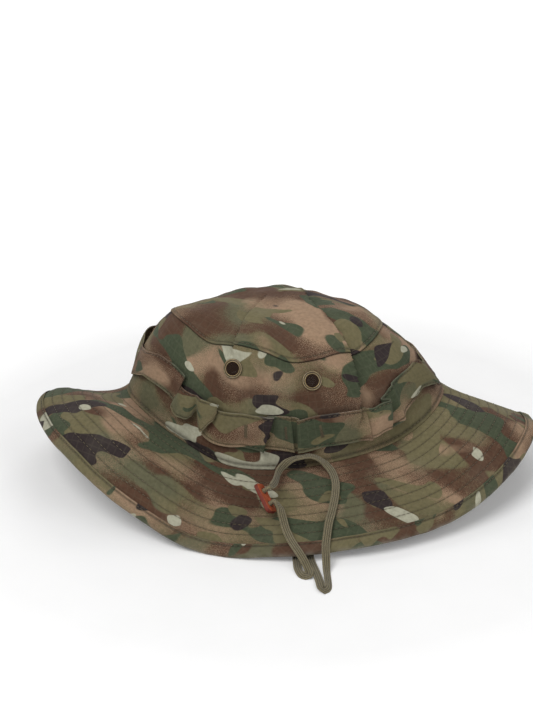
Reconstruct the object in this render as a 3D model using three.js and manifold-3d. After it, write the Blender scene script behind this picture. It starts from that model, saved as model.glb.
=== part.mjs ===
// A soft sun hat, standing crown up on a table. Millimetres, +Z up.
// The hat's length runs along X, and its near side, where the chin cord comes out, faces -Y.
// A bearing is an angle in degrees round the crown: 0 at +X, 90 at +Y, -90 at the near side.

import * as THREE from 'three';
import { mergeVertices } from 'three/addons/utils/BufferGeometryUtils.js';
import Module from 'manifold-3d';

const wasm = await Module();
wasm.setup();

// Driving dimensions: the crown and brim
const headLength = 207; // seam oval between crown and brim, end to end
const headWidth = 156; // the same oval, side to side
const brimWidth = 63.5; // seam to outer edge, along the cloth
const seamRise = 46; // table to the seam at the hat's two ends
const crownRise = 105; // table to the highest stretch of the top seam
const topLength = 135; // oval of the top panel
const topWidth = 124;
const topShift = -5.5; // the top panel lies a little towards the left end
const topDome = 10; // how far the top panel swells over its seam
const shoulderSwell = 5; // how far the crown side swells below the top seam
const restCut = 0.5; // depth of the flats that the brim's edge stands on

// Cloth thicknesses and the clearance between pieces that touch
const seat = 0.3;
const outerPly = 0.5; // each face cloth of the brim
const stiffener = 0.6; // the interlining between them
const sideCloth = 1.2; // crown side with its seam allowance
const topCloth = 1.2;
const seamTuck = 2; // how far the brim's plies run in under the crown side

// Edge binding
const bindingWidth = 8;
const bindingCloth = 0.6;
const bindingRound = 0.8; // rounding of its outer fold

// Sweatband inside the crown
const sweatbandHeight = 28;
const sweatbandCloth = 1.2;
const sweatbandInset = 2.8; // its outer face inside the crown side's outer face
const sweatbandDrop = 2.5; // how far it hangs below the crown side

// Foliage band round the crown
const bandHeight = 25.4;
const bandRise = 12; // its lower edge above the brim seam
const bandCloth = 0.8;
const bandGap = 0.35; // between the crown side and the band where it is tacked down
const bandFlare = 10; // widest stand-off of a loop at its lower edge
const bandFlareTop = 5; // widest stand-off at its upper edge
const bandLift = 13; // how far the band has ridden up where it is highest

// Vents: a flanged eyelet, a washer behind the cloth and a screen in the bore
const ventFlange = 12; // outer diameter
const ventFlangeHeight = 1;
const ventBarrel = 6.8; // outer diameter of the barrel through the cloth
const ventBore = 5.6;
const ventRoll = 8.8; // outer diameter of the rolled end that holds the washer
const ventRollHeight = 0.5;
const ventLift = 0.45; // flange above the cloth's facet, and washer below it
const washerDiameter = 11.6;
const washerThickness = 0.7;
const screenThickness = 0.5;
const screenPitch = 1; // wire to wire
const screenWire = 0.36;

// Chin cord and its leather keeper
const cordDiameter = 2.6;
const keeperLength = 19;
const keeperWidth = 10;
const keeperThickness = 2.4;
const keeperCorner = 2.5;
const keeperHoleSpacing = 8.6;
const keeperHoleClearance = 0.4;
const keeperStraight = 3; // straight cord in front of the keeper, along which it slides

// Fineness of the solids
const ringSteps = 60;
const droopSteps = 12;
const brimReachShares = [0, 0.2, 0.42, 0.65];
const crownShares = [0, 0.17, 0.34, 0.53, 0.74, 0.94, 1];
const topRingShares = [0.15, 0.32, 0.5, 0.67, 0.82, 0.93, 1];
const normalStep = 1.5; // degrees
const nearSteps = 26;
const bightSteps = 11;
const farSteps = 43;

// Round the brim: bearing, seam height as a share of seamRise, and the droop of the cloth
// in degrees at the seam, at a third and two thirds of the width, and at the edge.
const brimShares = [
  [-180, 1, 36, -10, -8, 60],
  [-165, 1.043, 10, -24, 22, 56],
  [-150, 1.011, -18, -12, 24, 54],
  [-130, 0.826, -14, 4, 36, 60],
  [-110, 0.577, 2, 18, 34, 42],
  [-90, 0.576, 10, 20, 24, 28],
  [-70, 0.663, 12, 18, 26, 34],
  [-50, 0.761, 16, 22, 26, 32],
  [-30, 0.902, 4, 12, 28, 32],
  [-15, 0.989, 4, 8, 20, 24],
  [0, 0.989, 18, 20, 20, 22],
  [15, 0.935, 42, 42, 36, 30],
  [40, 0.793, 36, 36, 32, 30],
  [65, 0.641, 28, 27, 25, 24],
  [90, 0.565, 24, 23, 22, 20],
  [115, 0.635, 28, 27, 25, 24],
  [140, 0.815, 42, 36, 32, 28],
  [165, 0.957, 52, 20, 14, 34],
  [180, 1, 36, -10, -8, 60],
];
const brimCreases = [0]; // bearings where the cloth is folded sharp

// Height of the top seam round the crown, as a share of crownRise.
const topSeamShares = [
  [-180, 0.962], [-165, 1], [-145, 1], [-126, 0.943], [-110, 0.962], [-96, 0.933],
  [-83, 0.871], [-70, 0.871], [-58, 0.881], [-45, 0.848], [-30, 0.876], [-15, 0.9],
  [0, 0.876], [30, 0.833], [60, 0.824], [90, 0.867], [120, 0.848], [150, 0.857],
  [180, 0.962],
];
const topCentreShare = 0.9; // height of the middle of the top panel

// Folds in the crown. Each follows points given as shares of half the head length, half the
// head width and the crown's rise. A ridge side stands proud and a hollow side sinks.
const folds = [
  { // the long fold from the top panel down the near side, its left lip over its right
    lineShares: [[0.05, 0.4, 0.97], [0.16, -0.13, 0.96], [0.24, -0.34, 0.93],
      [0.335, -0.6, 0.87], [0.4, -0.78, 0.66], [0.43, -0.9, 0.5]],
    ridge: 3, ridgeReach: 14, hollow: 3.2, hollowReach: 7,
  },
  { // the pinch at the top seam, running back over the top panel
    lineShares: [[-0.28, -0.74, 0.93], [-0.24, -0.45, 0.95], [-0.17, -0.12, 0.96],
      [-0.1, 0.18, 0.96]],
    ridge: -3.4, ridgeReach: 7, hollow: 3.4, hollowReach: 7,
  },
  { // a shallow hollow across the left of the near side
    lineShares: [[-0.5, -0.74, 0.66], [-0.42, -0.83, 0.52], [-0.34, -0.9, 0.44]],
    ridge: -1.6, ridgeReach: 12, hollow: 1.6, hollowReach: 12,
  },
];
const foldFade = 16; // length over which a fold dies out at its ends

// The foliage band round the crown: bearing, share of its widest stand-off and share of its
// greatest lift. It is tacked to the crown where the stand-off is zero.
const bandShares = [
  [-180, 0.1, 0], [-172, 0.12, 0.15], [-165, 0.18, 0.5], [-158, 0.3, 0.9], [-150, 0.4, 1],
  [-143, 0.32, 0.88], [-137, 0.24, 0.7], [-132, 0.6, 0.4], [-128, 0.95, 0.05], [-126, 1, 0],
  [-120, 0.8, 0], [-114, 0, 0], [-109, 0.2, 0], [-104, 0, 0], [-99, 0.35, 0], [-95, 0.45, 0],
  [-92, 0, 0], [-89, 0, 0], [-85, 0.25, 0], [-81, 0.3, 0], [-77, 0, 0], [-70, 0.25, 0],
  [-64, 0.35, 0], [-60, 0.1, 0], [-57, 0.8, 0], [-53, 1, 0], [-49, 0.6, 0], [-45, 0.06, 0],
  [-38, 0.18, 0.25], [-30, 0.2, 0.4], [-22, 0.3, 0.3], [-13, 0.65, 0.15], [-6, 0.4, 0],
  [0, 0, 0], [10, 0.05, 0], [22, 0.1, 0], [34, 0.05, 0], [42, 0, 0], [50, 0.7, 0], [56, 1, 0],
  [62, 0.7, 0], [68, 0, 0], [78, 0.3, 0], [88, 0, 0], [98, 0.3, 0], [108, 0, 0], [114, 0.7, 0],
  [120, 1, 0], [126, 0.7, 0], [132, 0.09, 0], [142, 0.3, 0], [154, 0.4, 0.2], [166, 0.4, 0.3],
  [175, 0.15, 0.05], [180, 0.1, 0],
];
const bandSteps = 110;

// Vents: bearing and share of the way up the crown side.
const ventShares = [[-110.5, 0.838], [-74.5, 0.846], [74.5, 0.846], [110.5, 0.838]];

// Chin cord, in the finished hat's place on the table. Its two runs are pinned inside the
// sweatband. Each list starts there and ends in front of the keeper.
const nearRun = [
  [4, -74.5, 25.5], [4, -74.3, 20], [4.2, -74.6, 12], [4.8, -77, 5.5], [5.4, -82.5, 2.2],
  [5.8, -92, 1.5], [6.1, -108, 1.5], [6.3, -124, 1.5], [6.4, -136.3, 1.5], [7.4, -146, 1.5],
  [9.8, -151.6, 1.5], [12.7, -152, 1.5], [13.5, -149, 1.5], [12.5, -145.8, 2.6],
  [10.6, -142.8, 5.4], [8, -139.3, 8.2], [3.2, -131.7, 12], [0.2, -125, 15.6],
  [-1.8, -119, 20.4], [-3.6, -115, 24.8],
];
const farRun = [
  [0, 74.5, 24.9], [0, 74.3, 18], [0.3, 73, 10], [1, 69, 4.6], [2, 62, 2], [4, 50, 1.5],
  [7, 30, 1.5], [10, 4, 1.5], [12, -26, 1.5], [13, -56, 1.5], [13.3, -86, 1.5],
  [13.5, -112, 1.5], [14.1, -134, 1.5], [15.9, -143, 1.5], [17.6, -150.5, 1.5],
  [18.9, -157.5, 1.5], [19.8, -163, 1.5], [21.7, -165.8, 1.5], [23.5, -163, 1.5],
  [23.7, -155, 1.5], [23.3, -147.6, 2.2], [23, -141.5, 6.4], [22.9, -135.8, 10.2],
  [23.6, -130, 13.2], [25, -121.5, 17.3], [27.5, -112, 21.7], [29.4, -102, 26],
  [29.6, -93.5, 29], [27.3, -85, 31.8], [22.6, -80.6, 35.2], [18, -79.9, 37.9],
  [13.9, -79.8, 38.8], [8.7, -80, 38], [3.5, -80.4, 36.3], [-0.8, -82.4, 33.8],
  [-3.8, -87.5, 32], [-4.9, -94.5, 31.7], [-5.9, -100.5, 32.2], [-7.6, -104.9, 32.4],
];
const keeperPlace = [-11.8, -109.4, 26.3];
const keeperLengthwiseShares = [0.428, -0.686, -0.588]; // direction towards its lower hole
const keeperFacingShares = [0.789, -0.033, 0.613]; // direction in which the cord leaves it

const up = new THREE.Vector3(0, 0, 1);
const radians = THREE.MathUtils.degToRad;

// Reads a column of a table at a bearing, on a smooth curve through its rows. The curve may
// turn a corner only at the bearings in corners.
function readTable(table, column, bearing, corners = []) {
  const last = table.length - 1;
  const turn = table[last][0] - table[0][0];
  const b = THREE.MathUtils.euclideanModulo(bearing - table[0][0], turn) + table[0][0];
  let row = 0;
  while (row < last - 1 && b >= table[row + 1][0]) row += 1;
  const at = (i) => {
    if (i < 0) return [table[last - 1][0] - turn, table[last - 1][column]];
    if (i > last) return [table[1][0] + turn, table[1][column]];
    return [table[i][0], table[i][column]];
  };
  const slope = (i, j) => (at(j)[1] - at(i)[1]) / (at(j)[0] - at(i)[0]);
  const tangent = (i, side) => {
    if (corners.includes(at(i)[0])) return side < 0 ? slope(i - 1, i) : slope(i, i + 1);
    const before = at(i)[0] - at(i - 1)[0];
    const after = at(i + 1)[0] - at(i)[0];
    return (slope(i - 1, i) * after + slope(i, i + 1) * before) / (before + after);
  };
  const [x0, y0] = at(row);
  const [x1, y1] = at(row + 1);
  const h = x1 - x0;
  const t = (b - x0) / h;
  const t2 = t * t;
  const t3 = t2 * t;
  return (2 * t3 - 3 * t2 + 1) * y0 + (t3 - 2 * t2 + t) * h * tangent(row, 1)
    + (3 * t2 - 2 * t3) * y1 + (t3 - t2) * h * tangent(row + 1, -1);
}

// Square to the head oval, in plan.
function outward(bearing) {
  const a = radians(bearing);
  return new THREE.Vector3(headWidth * Math.cos(a), headLength * Math.sin(a), 0).normalize();
}

function seamPoint(bearing) {
  const a = radians(bearing);
  return new THREE.Vector3(headLength / 2 * Math.cos(a), headWidth / 2 * Math.sin(a),
    seamRise * readTable(brimShares, 1, bearing, brimCreases));
}

// Middle of the brim's thickness, at a distance from the seam along the cloth.
function brimPoint(bearing, reach) {
  const droops = [2, 3, 4, 5].map((column) => readTable(brimShares, column, bearing, brimCreases));
  const thirds = droops.length - 1;
  const point = seamPoint(bearing);
  const out = outward(bearing);
  for (let i = 0; i < droopSteps; i += 1) {
    const share = Math.max(0, (i + 0.5) / droopSteps * reach / brimWidth);
    const span = Math.min(Math.floor(share * thirds), thirds - 1);
    const mix = share * thirds - span;
    const droop = radians(droops[span] * (1 - mix) + droops[span + 1] * mix);
    point.addScaledVector(out, Math.cos(droop) * reach / droopSteps);
    point.addScaledVector(up, -Math.sin(droop) * reach / droopSteps);
  }
  return point;
}

function squareTo(pointAt, bearing, along, stepAlong) {
  const round = pointAt(bearing + normalStep, along).sub(pointAt(bearing - normalStep, along));
  const across = pointAt(bearing, along + stepAlong).sub(pointAt(bearing, along - stepAlong));
  return across.cross(round).normalize();
}

// A point of the brim moved off the middle of its thickness, up for a positive lift.
function brimLayer(bearing, reach, lift) {
  const square = squareTo(brimPoint, bearing, Math.max(reach, seamTuck), seamTuck);
  return brimPoint(bearing, reach).addScaledVector(square, lift);
}

const stackHalf = stiffener / 2 + seat + outerPly;

// How far the folds push a point of the crown out from the crown's middle.
function foldPush(point) {
  let push = 0;
  for (const fold of folds) {
    const line = fold.lineShares.map(([x, y, z]) => new THREE.Vector3(
      x * headLength / 2, y * headWidth / 2, z * crownRise));
    let nearest = Infinity;
    let side = 1;
    let travelled = 0;
    let place = 0;
    let total = 0;
    for (let i = 1; i < line.length; i += 1) {
      const segment = new THREE.Line3(line[i - 1], line[i]);
      const foot = segment.closestPointToPoint(point, true, new THREE.Vector3());
      const gap = foot.distanceTo(point);
      const length = segment.distance();
      if (gap < nearest) {
        nearest = gap;
        place = travelled + foot.distanceTo(line[i - 1]);
        const run = segment.delta(new THREE.Vector3());
        const away = new THREE.Vector3().subVectors(point, foot);
        side = run.cross(away).dot(new THREE.Vector3(point.x, point.y, point.z)) < 0 ? 1 : -1;
      }
      travelled += length;
      total += length;
    }
    const ends = Math.min(1, Math.min(place, total - place) / foldFade);
    const fade = ends * ends * (3 - 2 * ends);
    const height = side > 0 ? fold.ridge : -fold.hollow;
    const reach = side > 0 ? fold.ridgeReach : fold.hollowReach;
    push += fade * height * Math.exp(-nearest * nearest / (reach * reach));
  }
  return push;
}

function puffed(point) {
  const middle = new THREE.Vector3(topShift / 2, 0, seamRise);
  const direction = new THREE.Vector3().subVectors(point, middle).normalize();
  return point.clone().addScaledVector(direction, foldPush(point));
}

function topSeamPoint(bearing) {
  const a = radians(bearing);
  return new THREE.Vector3(topShift + topLength / 2 * Math.cos(a), topWidth / 2 * Math.sin(a),
    crownRise * readTable(topSeamShares, 1, bearing));
}

// Outer face of the crown side, from the brim seam at 0 to the top seam at 1.
function sidePoint(bearing, share) {
  const foot = brimLayer(bearing, 0, stackHalf + seat);
  if (share === 0) return foot;
  const point = foot.lerp(topSeamPoint(bearing), share);
  const swell = 27 / 4 * share * share * (1 - share);
  point.addScaledVector(outward(bearing), shoulderSwell * swell);
  return puffed(point).addScaledVector(up, -(topCloth + seat) * share);
}

function sideSquare(bearing, share) {
  const stepShare = 0.02;
  const inside = Math.min(Math.max(share, stepShare), 1 - stepShare);
  return squareTo(sidePoint, bearing, inside, stepShare).negate();
}

function sideInner(bearing, share) {
  if (share === 0) return brimLayer(bearing, -sideCloth, stackHalf + seat);
  return sidePoint(bearing, share).addScaledVector(sideSquare(bearing, share), -sideCloth);
}

function sideLength(bearing) {
  return topSeamPoint(bearing).distanceTo(seamPoint(bearing));
}

// Upper face of the top panel, from its middle at 0 to its seam at 1.
function topPoint(bearing, share) {
  const rim = topSeamPoint(bearing);
  const centre = new THREE.Vector3(topShift, 0, crownRise * topCentreShare);
  const point = centre.clone().lerp(rim, share);
  point.z = centre.z + (rim.z - centre.z) * share * share;
  point.z += topDome * (1 - share ** 4);
  return puffed(point);
}

// Closes rings of points into a solid. Each ring is one closed outline with as many points
// as the next. It runs out along one face and back along the other, or back at the places
// in runsBack, so that facets one above the other are split alike. The first and last rings
// meet, or are closed by caps.
function loftSolid(rings, closed, runsBack) {
  const count = rings[0].length;
  const positions = rings.flat().flatMap((p) => [p.x, p.y, p.z]);
  const index = [];
  const spans = closed ? rings.length : rings.length - 1;
  for (let i = 0; i < spans; i += 1) {
    const j = (i + 1) % rings.length;
    for (let k = 0; k < count; k += 1) {
      const l = (k + 1) % count;
      const [a, b, c, d] = [i * count + k, j * count + k, j * count + l, i * count + l];
      if (runsBack ? runsBack.includes(k) : k >= count / 2) index.push(a, b, d, b, c, d);
      else index.push(a, b, c, a, c, d);
    }
  }
  if (!closed) {
    for (const [ring, flip] of [[0, false], [rings.length - 1, true]]) {
      for (let k = 0; k < count / 2 - 1; k += 1) {
        const [a, b] = [ring * count + k, ring * count + k + 1];
        const [c, d] = [ring * count + count - 2 - k, ring * count + count - 1 - k];
        if (flip) index.push(a, c, b, a, d, c);
        else index.push(a, b, c, a, c, d);
      }
    }
  }
  return facingOut(positions, index);
}

// Makes a geometry, turned inside out if its volume comes out negative.
function facingOut(positions, index) {
  let volume = 0;
  const corner = (i) => new THREE.Vector3().fromArray(positions, i * 3);
  for (let i = 0; i < index.length; i += 3) {
    volume += corner(index[i]).dot(corner(index[i + 1]).cross(corner(index[i + 2])));
  }
  const geometry = new THREE.BufferGeometry();
  geometry.setAttribute('position', new THREE.Float32BufferAttribute(positions, 3));
  geometry.setIndex(volume < 0 ? [...index].reverse() : index);
  return geometry;
}

function bearings(steps, from = -180, to = 180) {
  return Array.from({ length: steps }, (_, i) => from + (to - from) * i / steps);
}

// Solids for cutting, and the way back to a geometry
function toManifold(geometry) {
  const bare = geometry.clone();
  bare.deleteAttribute('normal');
  bare.deleteAttribute('uv');
  const merged = mergeVertices(bare);
  return new wasm.Manifold(new wasm.Mesh({
    numProp: 3,
    vertProperties: new Float32Array(merged.attributes.position.array),
    triVerts: new Uint32Array(merged.index.array),
  }));
}

function toGeometry(manifold) {
  const mesh = manifold.getMesh();
  const geometry = new THREE.BufferGeometry();
  geometry.setAttribute('position', new THREE.BufferAttribute(mesh.vertProperties, 3));
  geometry.setIndex(new THREE.BufferAttribute(mesh.triVerts, 1));
  return geometry;
}

const hat = new THREE.Group();

function addPiece(parent, name, geometry, finish) {
  const shaded = geometry.index ? geometry.toNonIndexed() : geometry;
  shaded.computeVertexNormals();
  const mesh = new THREE.Mesh(shaded, new THREE.MeshStandardMaterial(finish));
  mesh.name = name;
  parent.add(mesh);
  return mesh;
}

// Finishes
const oliveCloth = { color: 0x6b6548, roughness: 0.92, metalness: 0 };
const brownCloth = { color: 0x584234, roughness: 0.92, metalness: 0 };
const greenCloth = { color: 0x42543a, roughness: 0.92, metalness: 0 };
const lining = { color: 0x5c5846, roughness: 0.95, metalness: 0 };
const oliveBrass = { color: 0x6e6042, roughness: 0.45, metalness: 0.7 };
const darkBrass = { color: 0x3a3028, roughness: 0.55, metalness: 0.6 };
const cordCloth = { color: 0x786e52, roughness: 0.9, metalness: 0 };
const leather = { color: 0xaf5532, roughness: 0.6, metalness: 0 };

// Brim: two face cloths with a stiffener between them
const bindingStart = brimWidth - bindingWidth;
const plyEnd = brimWidth - bindingCloth - seat;

function brimPly(low, high) {
  const reaches = [-seamTuck, ...brimReachShares.map((share) => share * brimWidth)];
  reaches.push(bindingStart, plyEnd);
  const rings = bearings(ringSteps).map((bearing) => [
    ...reaches.map((reach) => brimLayer(bearing, reach, high)),
    ...[...reaches].reverse().map((reach) => brimLayer(bearing, reach, low)),
  ]);
  return loftSolid(rings, true);
}

// Binding: cloth folded round the brim's edge
function bindingRing(bearing) {
  const inner = stackHalf + seat;
  const outer = inner + bindingCloth;
  const outline = [
    [bindingStart, outer], [brimWidth - bindingRound, outer], [brimWidth, outer - bindingRound],
    [brimWidth, bindingRound - outer], [brimWidth - bindingRound, -outer], [bindingStart, -outer],
    [bindingStart, -inner], [brimWidth - bindingCloth, -inner],
    [brimWidth - bindingCloth, inner], [bindingStart, inner],
  ];
  return outline.map(([reach, lift]) => brimLayer(bearing, reach, lift));
}

const bindingRunsBack = [4, 8];
const bindingUncut = loftSolid(bearings(ringSteps).map(bindingRing), true, bindingRunsBack);
bindingUncut.computeBoundingBox();
const tableLevel = bindingUncut.boundingBox.min.z + restCut;

function bindingSolid() {
  const size = bindingUncut.boundingBox.getSize(new THREE.Vector3()).multiplyScalar(2);
  const below = new THREE.BoxGeometry(size.x, size.y, size.z);
  below.translate(0, 0, tableLevel - size.z / 2);
  return toGeometry(toManifold(bindingUncut).subtract(toManifold(below)));
}

// Crown side: one panel on each side of the hat, seamed at the two ends
function sidePanel(from, to, cutters) {
  const halfGap = THREE.MathUtils.radToDeg(seat / headLength);
  const steps = ringSteps / 2;
  const places = bearings(steps, from, to);
  places[0] += halfGap;
  places.push(to - halfGap);
  const rings = places.map((bearing) => [
    ...crownShares.map((share) => sidePoint(bearing, share)),
    ...[...crownShares].reverse().map((share) => sideInner(bearing, share)),
  ]);
  let solid = toManifold(loftSolid(rings, false));
  for (const cutter of cutters) solid = solid.subtract(cutter);
  return toGeometry(solid);
}

function topPanel() {
  const around = bearings(ringSteps);
  const positions = [];
  const index = [];
  const put = (p) => positions.push(p.x, p.y, p.z) / 3 - 1;
  const face = (drop) => {
    const lowered = (p) => p.clone().addScaledVector(up, -drop);
    const middle = put(lowered(topPoint(0, 0)));
    const rows = topRingShares.map((share) => around.map((b) => put(lowered(topPoint(b, share)))));
    return { middle, rows };
  };
  const faces = [face(0), face(topCloth)];
  faces.forEach(({ middle, rows }, under) => {
    const triangle = (a, b, c) => index.push(a, under ? c : b, under ? b : c);
    around.forEach((_, i) => {
      const j = (i + 1) % around.length;
      triangle(middle, rows[0][i], rows[0][j]);
      for (let r = 1; r < rows.length; r += 1) {
        triangle(rows[r - 1][i], rows[r][i], rows[r][j]);
        triangle(rows[r - 1][i], rows[r][j], rows[r - 1][j]);
      }
    });
  });
  const [over, beneath] = faces.map(({ rows }) => rows[rows.length - 1]);
  around.forEach((_, i) => {
    const j = (i + 1) % around.length;
    index.push(over[i], beneath[i], beneath[j], over[i], beneath[j], over[j]);
  });
  return facingOut(positions, index);
}

// Sweatband: lies inside the crown side and hangs to the brim's underside
function sweatbandRing(bearing) {
  const out = outward(bearing);
  const rise = sweatbandHeight / sideLength(bearing);
  const outer = [0, rise / 2, rise].map((share) => sidePoint(bearing, share)
    .addScaledVector(out, -sweatbandInset));
  outer[0].z -= sweatbandDrop;
  const inner = outer.map((p) => p.clone().addScaledVector(out, -sweatbandCloth)).reverse();
  return [...outer, ...inner];
}

// Foliage band: tacked flat in places, standing off in loops between them
function bandRing(bearing) {
  const out = outward(bearing);
  const rise = bandRise + bandLift * Math.max(0, readTable(bandShares, 2, bearing));
  const low = rise / sideLength(bearing);
  const high = (rise + bandHeight) / sideLength(bearing);
  const stand = Math.max(0, readTable(bandShares, 1, bearing));
  const corner = (share, flare, extra) => sidePoint(bearing, share)
    .addScaledVector(out, bandGap + stand * flare + extra);
  return [corner(low, bandFlare, 0), corner(high, bandFlareTop, 0),
    corner(high, bandFlareTop, bandCloth), corner(low, bandFlare, bandCloth)];
}

// Vent frames: Z out of the crown side, on the facet of its outer face that holds the vent
function ventFrame([bearing, share]) {
  const width = 360 / ringSteps;
  const left = Math.floor(bearing / width) * width;
  const row = crownShares.findIndex((limit) => limit > share);
  const [low, high] = [crownShares[row - 1], crownShares[row]];
  const [a, b, c, d] = [[left, low], [left + width, low], [left + width, high], [left, high]]
    .map(([place, level]) => sidePoint(place, level));
  const square = new THREE.Vector3().crossVectors(c.clone().sub(a), d.clone().sub(b)).normalize();
  const along = (bearing - left) / width;
  const middle = a.clone().lerp(b, along).lerp(d.clone().lerp(c, along), (share - low) / (high - low));
  const across = new THREE.Vector3().crossVectors(up, square).normalize();
  const rise = new THREE.Vector3().crossVectors(square, across);
  return new THREE.Matrix4().makeBasis(across, rise, square).setPosition(middle);
}

function ventCutter(frame) {
  const hole = new THREE.CylinderGeometry(ventBarrel / 2 + seat, ventBarrel / 2 + seat,
    ventFlange, 20);
  hole.rotateX(Math.PI / 2);
  return toManifold(hole.applyMatrix4(frame));
}

function lathed(outline, sides) {
  const closed = [...outline, outline[0]].map(([r, z]) => new THREE.Vector2(r, z));
  const geometry = new THREE.LatheGeometry(closed, sides);
  geometry.rotateX(Math.PI / 2);
  const bare = geometry.clone();
  bare.deleteAttribute('normal');
  bare.deleteAttribute('uv');
  const merged = mergeVertices(bare);
  return facingOut([...merged.attributes.position.array], [...merged.index.array]);
}

const washerTop = -(sideCloth + ventLift);
const rollTop = washerTop - washerThickness - seat;

function eyelet() {
  const flange = ventFlange / 2;
  const barrel = ventBarrel / 2;
  const bore = ventBore / 2;
  const crest = ventLift + ventFlangeHeight;
  const lip = ventFlangeHeight / 4;
  return lathed([
    [bore, crest - lip], [(bore + barrel) / 2, crest], [(barrel + flange) / 2, crest],
    [flange - lip, ventLift + 2 * lip], [flange, ventLift + lip], [flange, ventLift],
    [barrel, ventLift], [barrel, rollTop], [ventRoll / 2, rollTop - lip],
    [ventRoll / 2, rollTop - ventRollHeight], [bore, rollTop - ventRollHeight],
  ], 16);
}

function washer() {
  const inner = ventBarrel / 2 + seat;
  const outer = washerDiameter / 2;
  return lathed([[inner, washerTop], [outer, washerTop], [outer, washerTop - washerThickness],
    [inner, washerTop - washerThickness]], 16);
}

// Screen: a disc of crossed wires in the bore
function screen() {
  const radius = ventBore / 2 - seat;
  const disc = new THREE.CylinderGeometry(radius, radius, screenThickness, 20);
  disc.rotateX(Math.PI / 2).translate(0, 0, screenThickness / 2);
  const gap = screenPitch - screenWire;
  const reach = Math.floor(radius / screenPitch);
  let mesh = toManifold(disc);
  for (let i = -reach; i <= reach; i += 1) {
    for (let j = -reach; j <= reach; j += 1) {
      const [x, y] = [i * screenPitch, j * screenPitch];
      const corner = Math.hypot(Math.abs(x) + gap / 2, Math.abs(y) + gap / 2);
      if (corner < radius - screenWire / 2) {
        const hole = new THREE.BoxGeometry(gap, gap, screenThickness * 4);
        mesh = mesh.subtract(toManifold(hole.translate(x, y, 0)));
      }
    }
  }
  return toGeometry(mesh);
}

// Keeper: a leather tab with two holes, X across it, Y along it and Z out of its face
function keeperFrame() {
  const along = new THREE.Vector3(...keeperLengthwiseShares).normalize();
  const facing = new THREE.Vector3(...keeperFacingShares);
  facing.addScaledVector(along, -facing.dot(along)).normalize();
  const across = new THREE.Vector3().crossVectors(along, facing);
  return new THREE.Matrix4().makeBasis(across, along, facing).setPosition(...keeperPlace);
}

function keeper() {
  const [w, l, r] = [keeperWidth / 2, keeperLength / 2, keeperCorner];
  const tab = new THREE.Shape();
  tab.moveTo(w, r - l);
  tab.lineTo(w, l - r);
  tab.absarc(w - r, l - r, r, 0, Math.PI / 2, false);
  tab.lineTo(r - w, l);
  tab.absarc(r - w, l - r, r, Math.PI / 2, Math.PI, false);
  tab.lineTo(-w, r - l);
  tab.absarc(r - w, r - l, r, Math.PI, Math.PI * 3 / 2, false);
  tab.lineTo(w - r, -l);
  tab.absarc(w - r, r - l, r, Math.PI * 3 / 2, Math.PI * 2, false);
  for (const end of [-1, 1]) {
    const hole = new THREE.Path();
    const radius = cordDiameter / 2 + keeperHoleClearance;
    hole.absarc(0, end * keeperHoleSpacing / 2, radius, 0, Math.PI * 2, true);
    tab.holes.push(hole);
  }
  const geometry = new THREE.ExtrudeGeometry(tab, {
    depth: keeperThickness, bevelEnabled: false, curveSegments: 6,
  });
  return geometry.translate(0, 0, -keeperThickness / 2);
}

// A smooth route that keeps its steps as close together as its points
class CordRoute extends THREE.CatmullRomCurve3 {
  getUtoTmapping(share) {
    return share;
  }
}

// A cord through points, as a tube of eight sides
function cordTube(points, steps) {
  const section = new THREE.Shape();
  const sides = 8;
  for (let i = 0; i < sides; i += 1) {
    const a = Math.PI * 2 * (i + 0.5) / sides;
    const corner = [cordDiameter / 2 * Math.cos(a), cordDiameter / 2 * Math.sin(a)];
    if (i === 0) section.moveTo(...corner);
    else section.lineTo(...corner);
  }
  section.closePath();
  const route = new CordRoute(points, false, 'centripetal');
  return new THREE.ExtrudeGeometry(section, { steps, extrudePath: route, bevelEnabled: false });
}

// The bight behind the keeper, and the straight cord in front of each hole
const holder = keeperFrame();
const inKeeper = (x, y, z) => new THREE.Vector3(x, y, z).applyMatrix4(holder);
const face = keeperThickness / 2;

function straightOut(end) {
  const y = end * keeperHoleSpacing / 2;
  return [inKeeper(0, y, face + keeperStraight), inKeeper(0, y, face + keeperStraight / 2),
    inKeeper(0, y, face + seat)];
}

function bight() {
  const radius = keeperHoleSpacing / 2;
  const points = [inKeeper(0, radius, face), inKeeper(0, radius, 0)];
  const turns = 6;
  for (let i = 0; i <= turns; i += 1) {
    const a = Math.PI * i / turns;
    points.push(inKeeper(0, radius * Math.cos(a), -face - seat - radius * Math.sin(a)));
  }
  points.push(inKeeper(0, -radius, 0), inKeeper(0, -radius, face));
  return points;
}

// Assembly
const cloths = new THREE.Group();
const ventFrames = ventShares.map(ventFrame);
const cutters = ventFrames.map(ventCutter);
const plyInner = stiffener / 2 + seat;
addPiece(cloths, 'crown_top_panel', topPanel(), oliveCloth);
addPiece(cloths, 'crown_side_panel_left', sidePanel(-180, 0, cutters.slice(0, 2)), brownCloth);
addPiece(cloths, 'crown_side_panel_right', sidePanel(0, 180, cutters.slice(2)), brownCloth);
addPiece(cloths, 'brim_top_ply', brimPly(plyInner, plyInner + outerPly), oliveCloth);
addPiece(cloths, 'brim_stiffener', brimPly(-stiffener / 2, stiffener / 2), lining);
addPiece(cloths, 'brim_under_ply', brimPly(-plyInner - outerPly, -plyInner), oliveCloth);
addPiece(cloths, 'brim_binding', bindingSolid(), greenCloth);
addPiece(cloths, 'sweatband', loftSolid(bearings(ringSteps).map(sweatbandRing), true), lining);
addPiece(cloths, 'foliage_band', loftSolid(bearings(bandSteps).map(bandRing), true), greenCloth);
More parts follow.
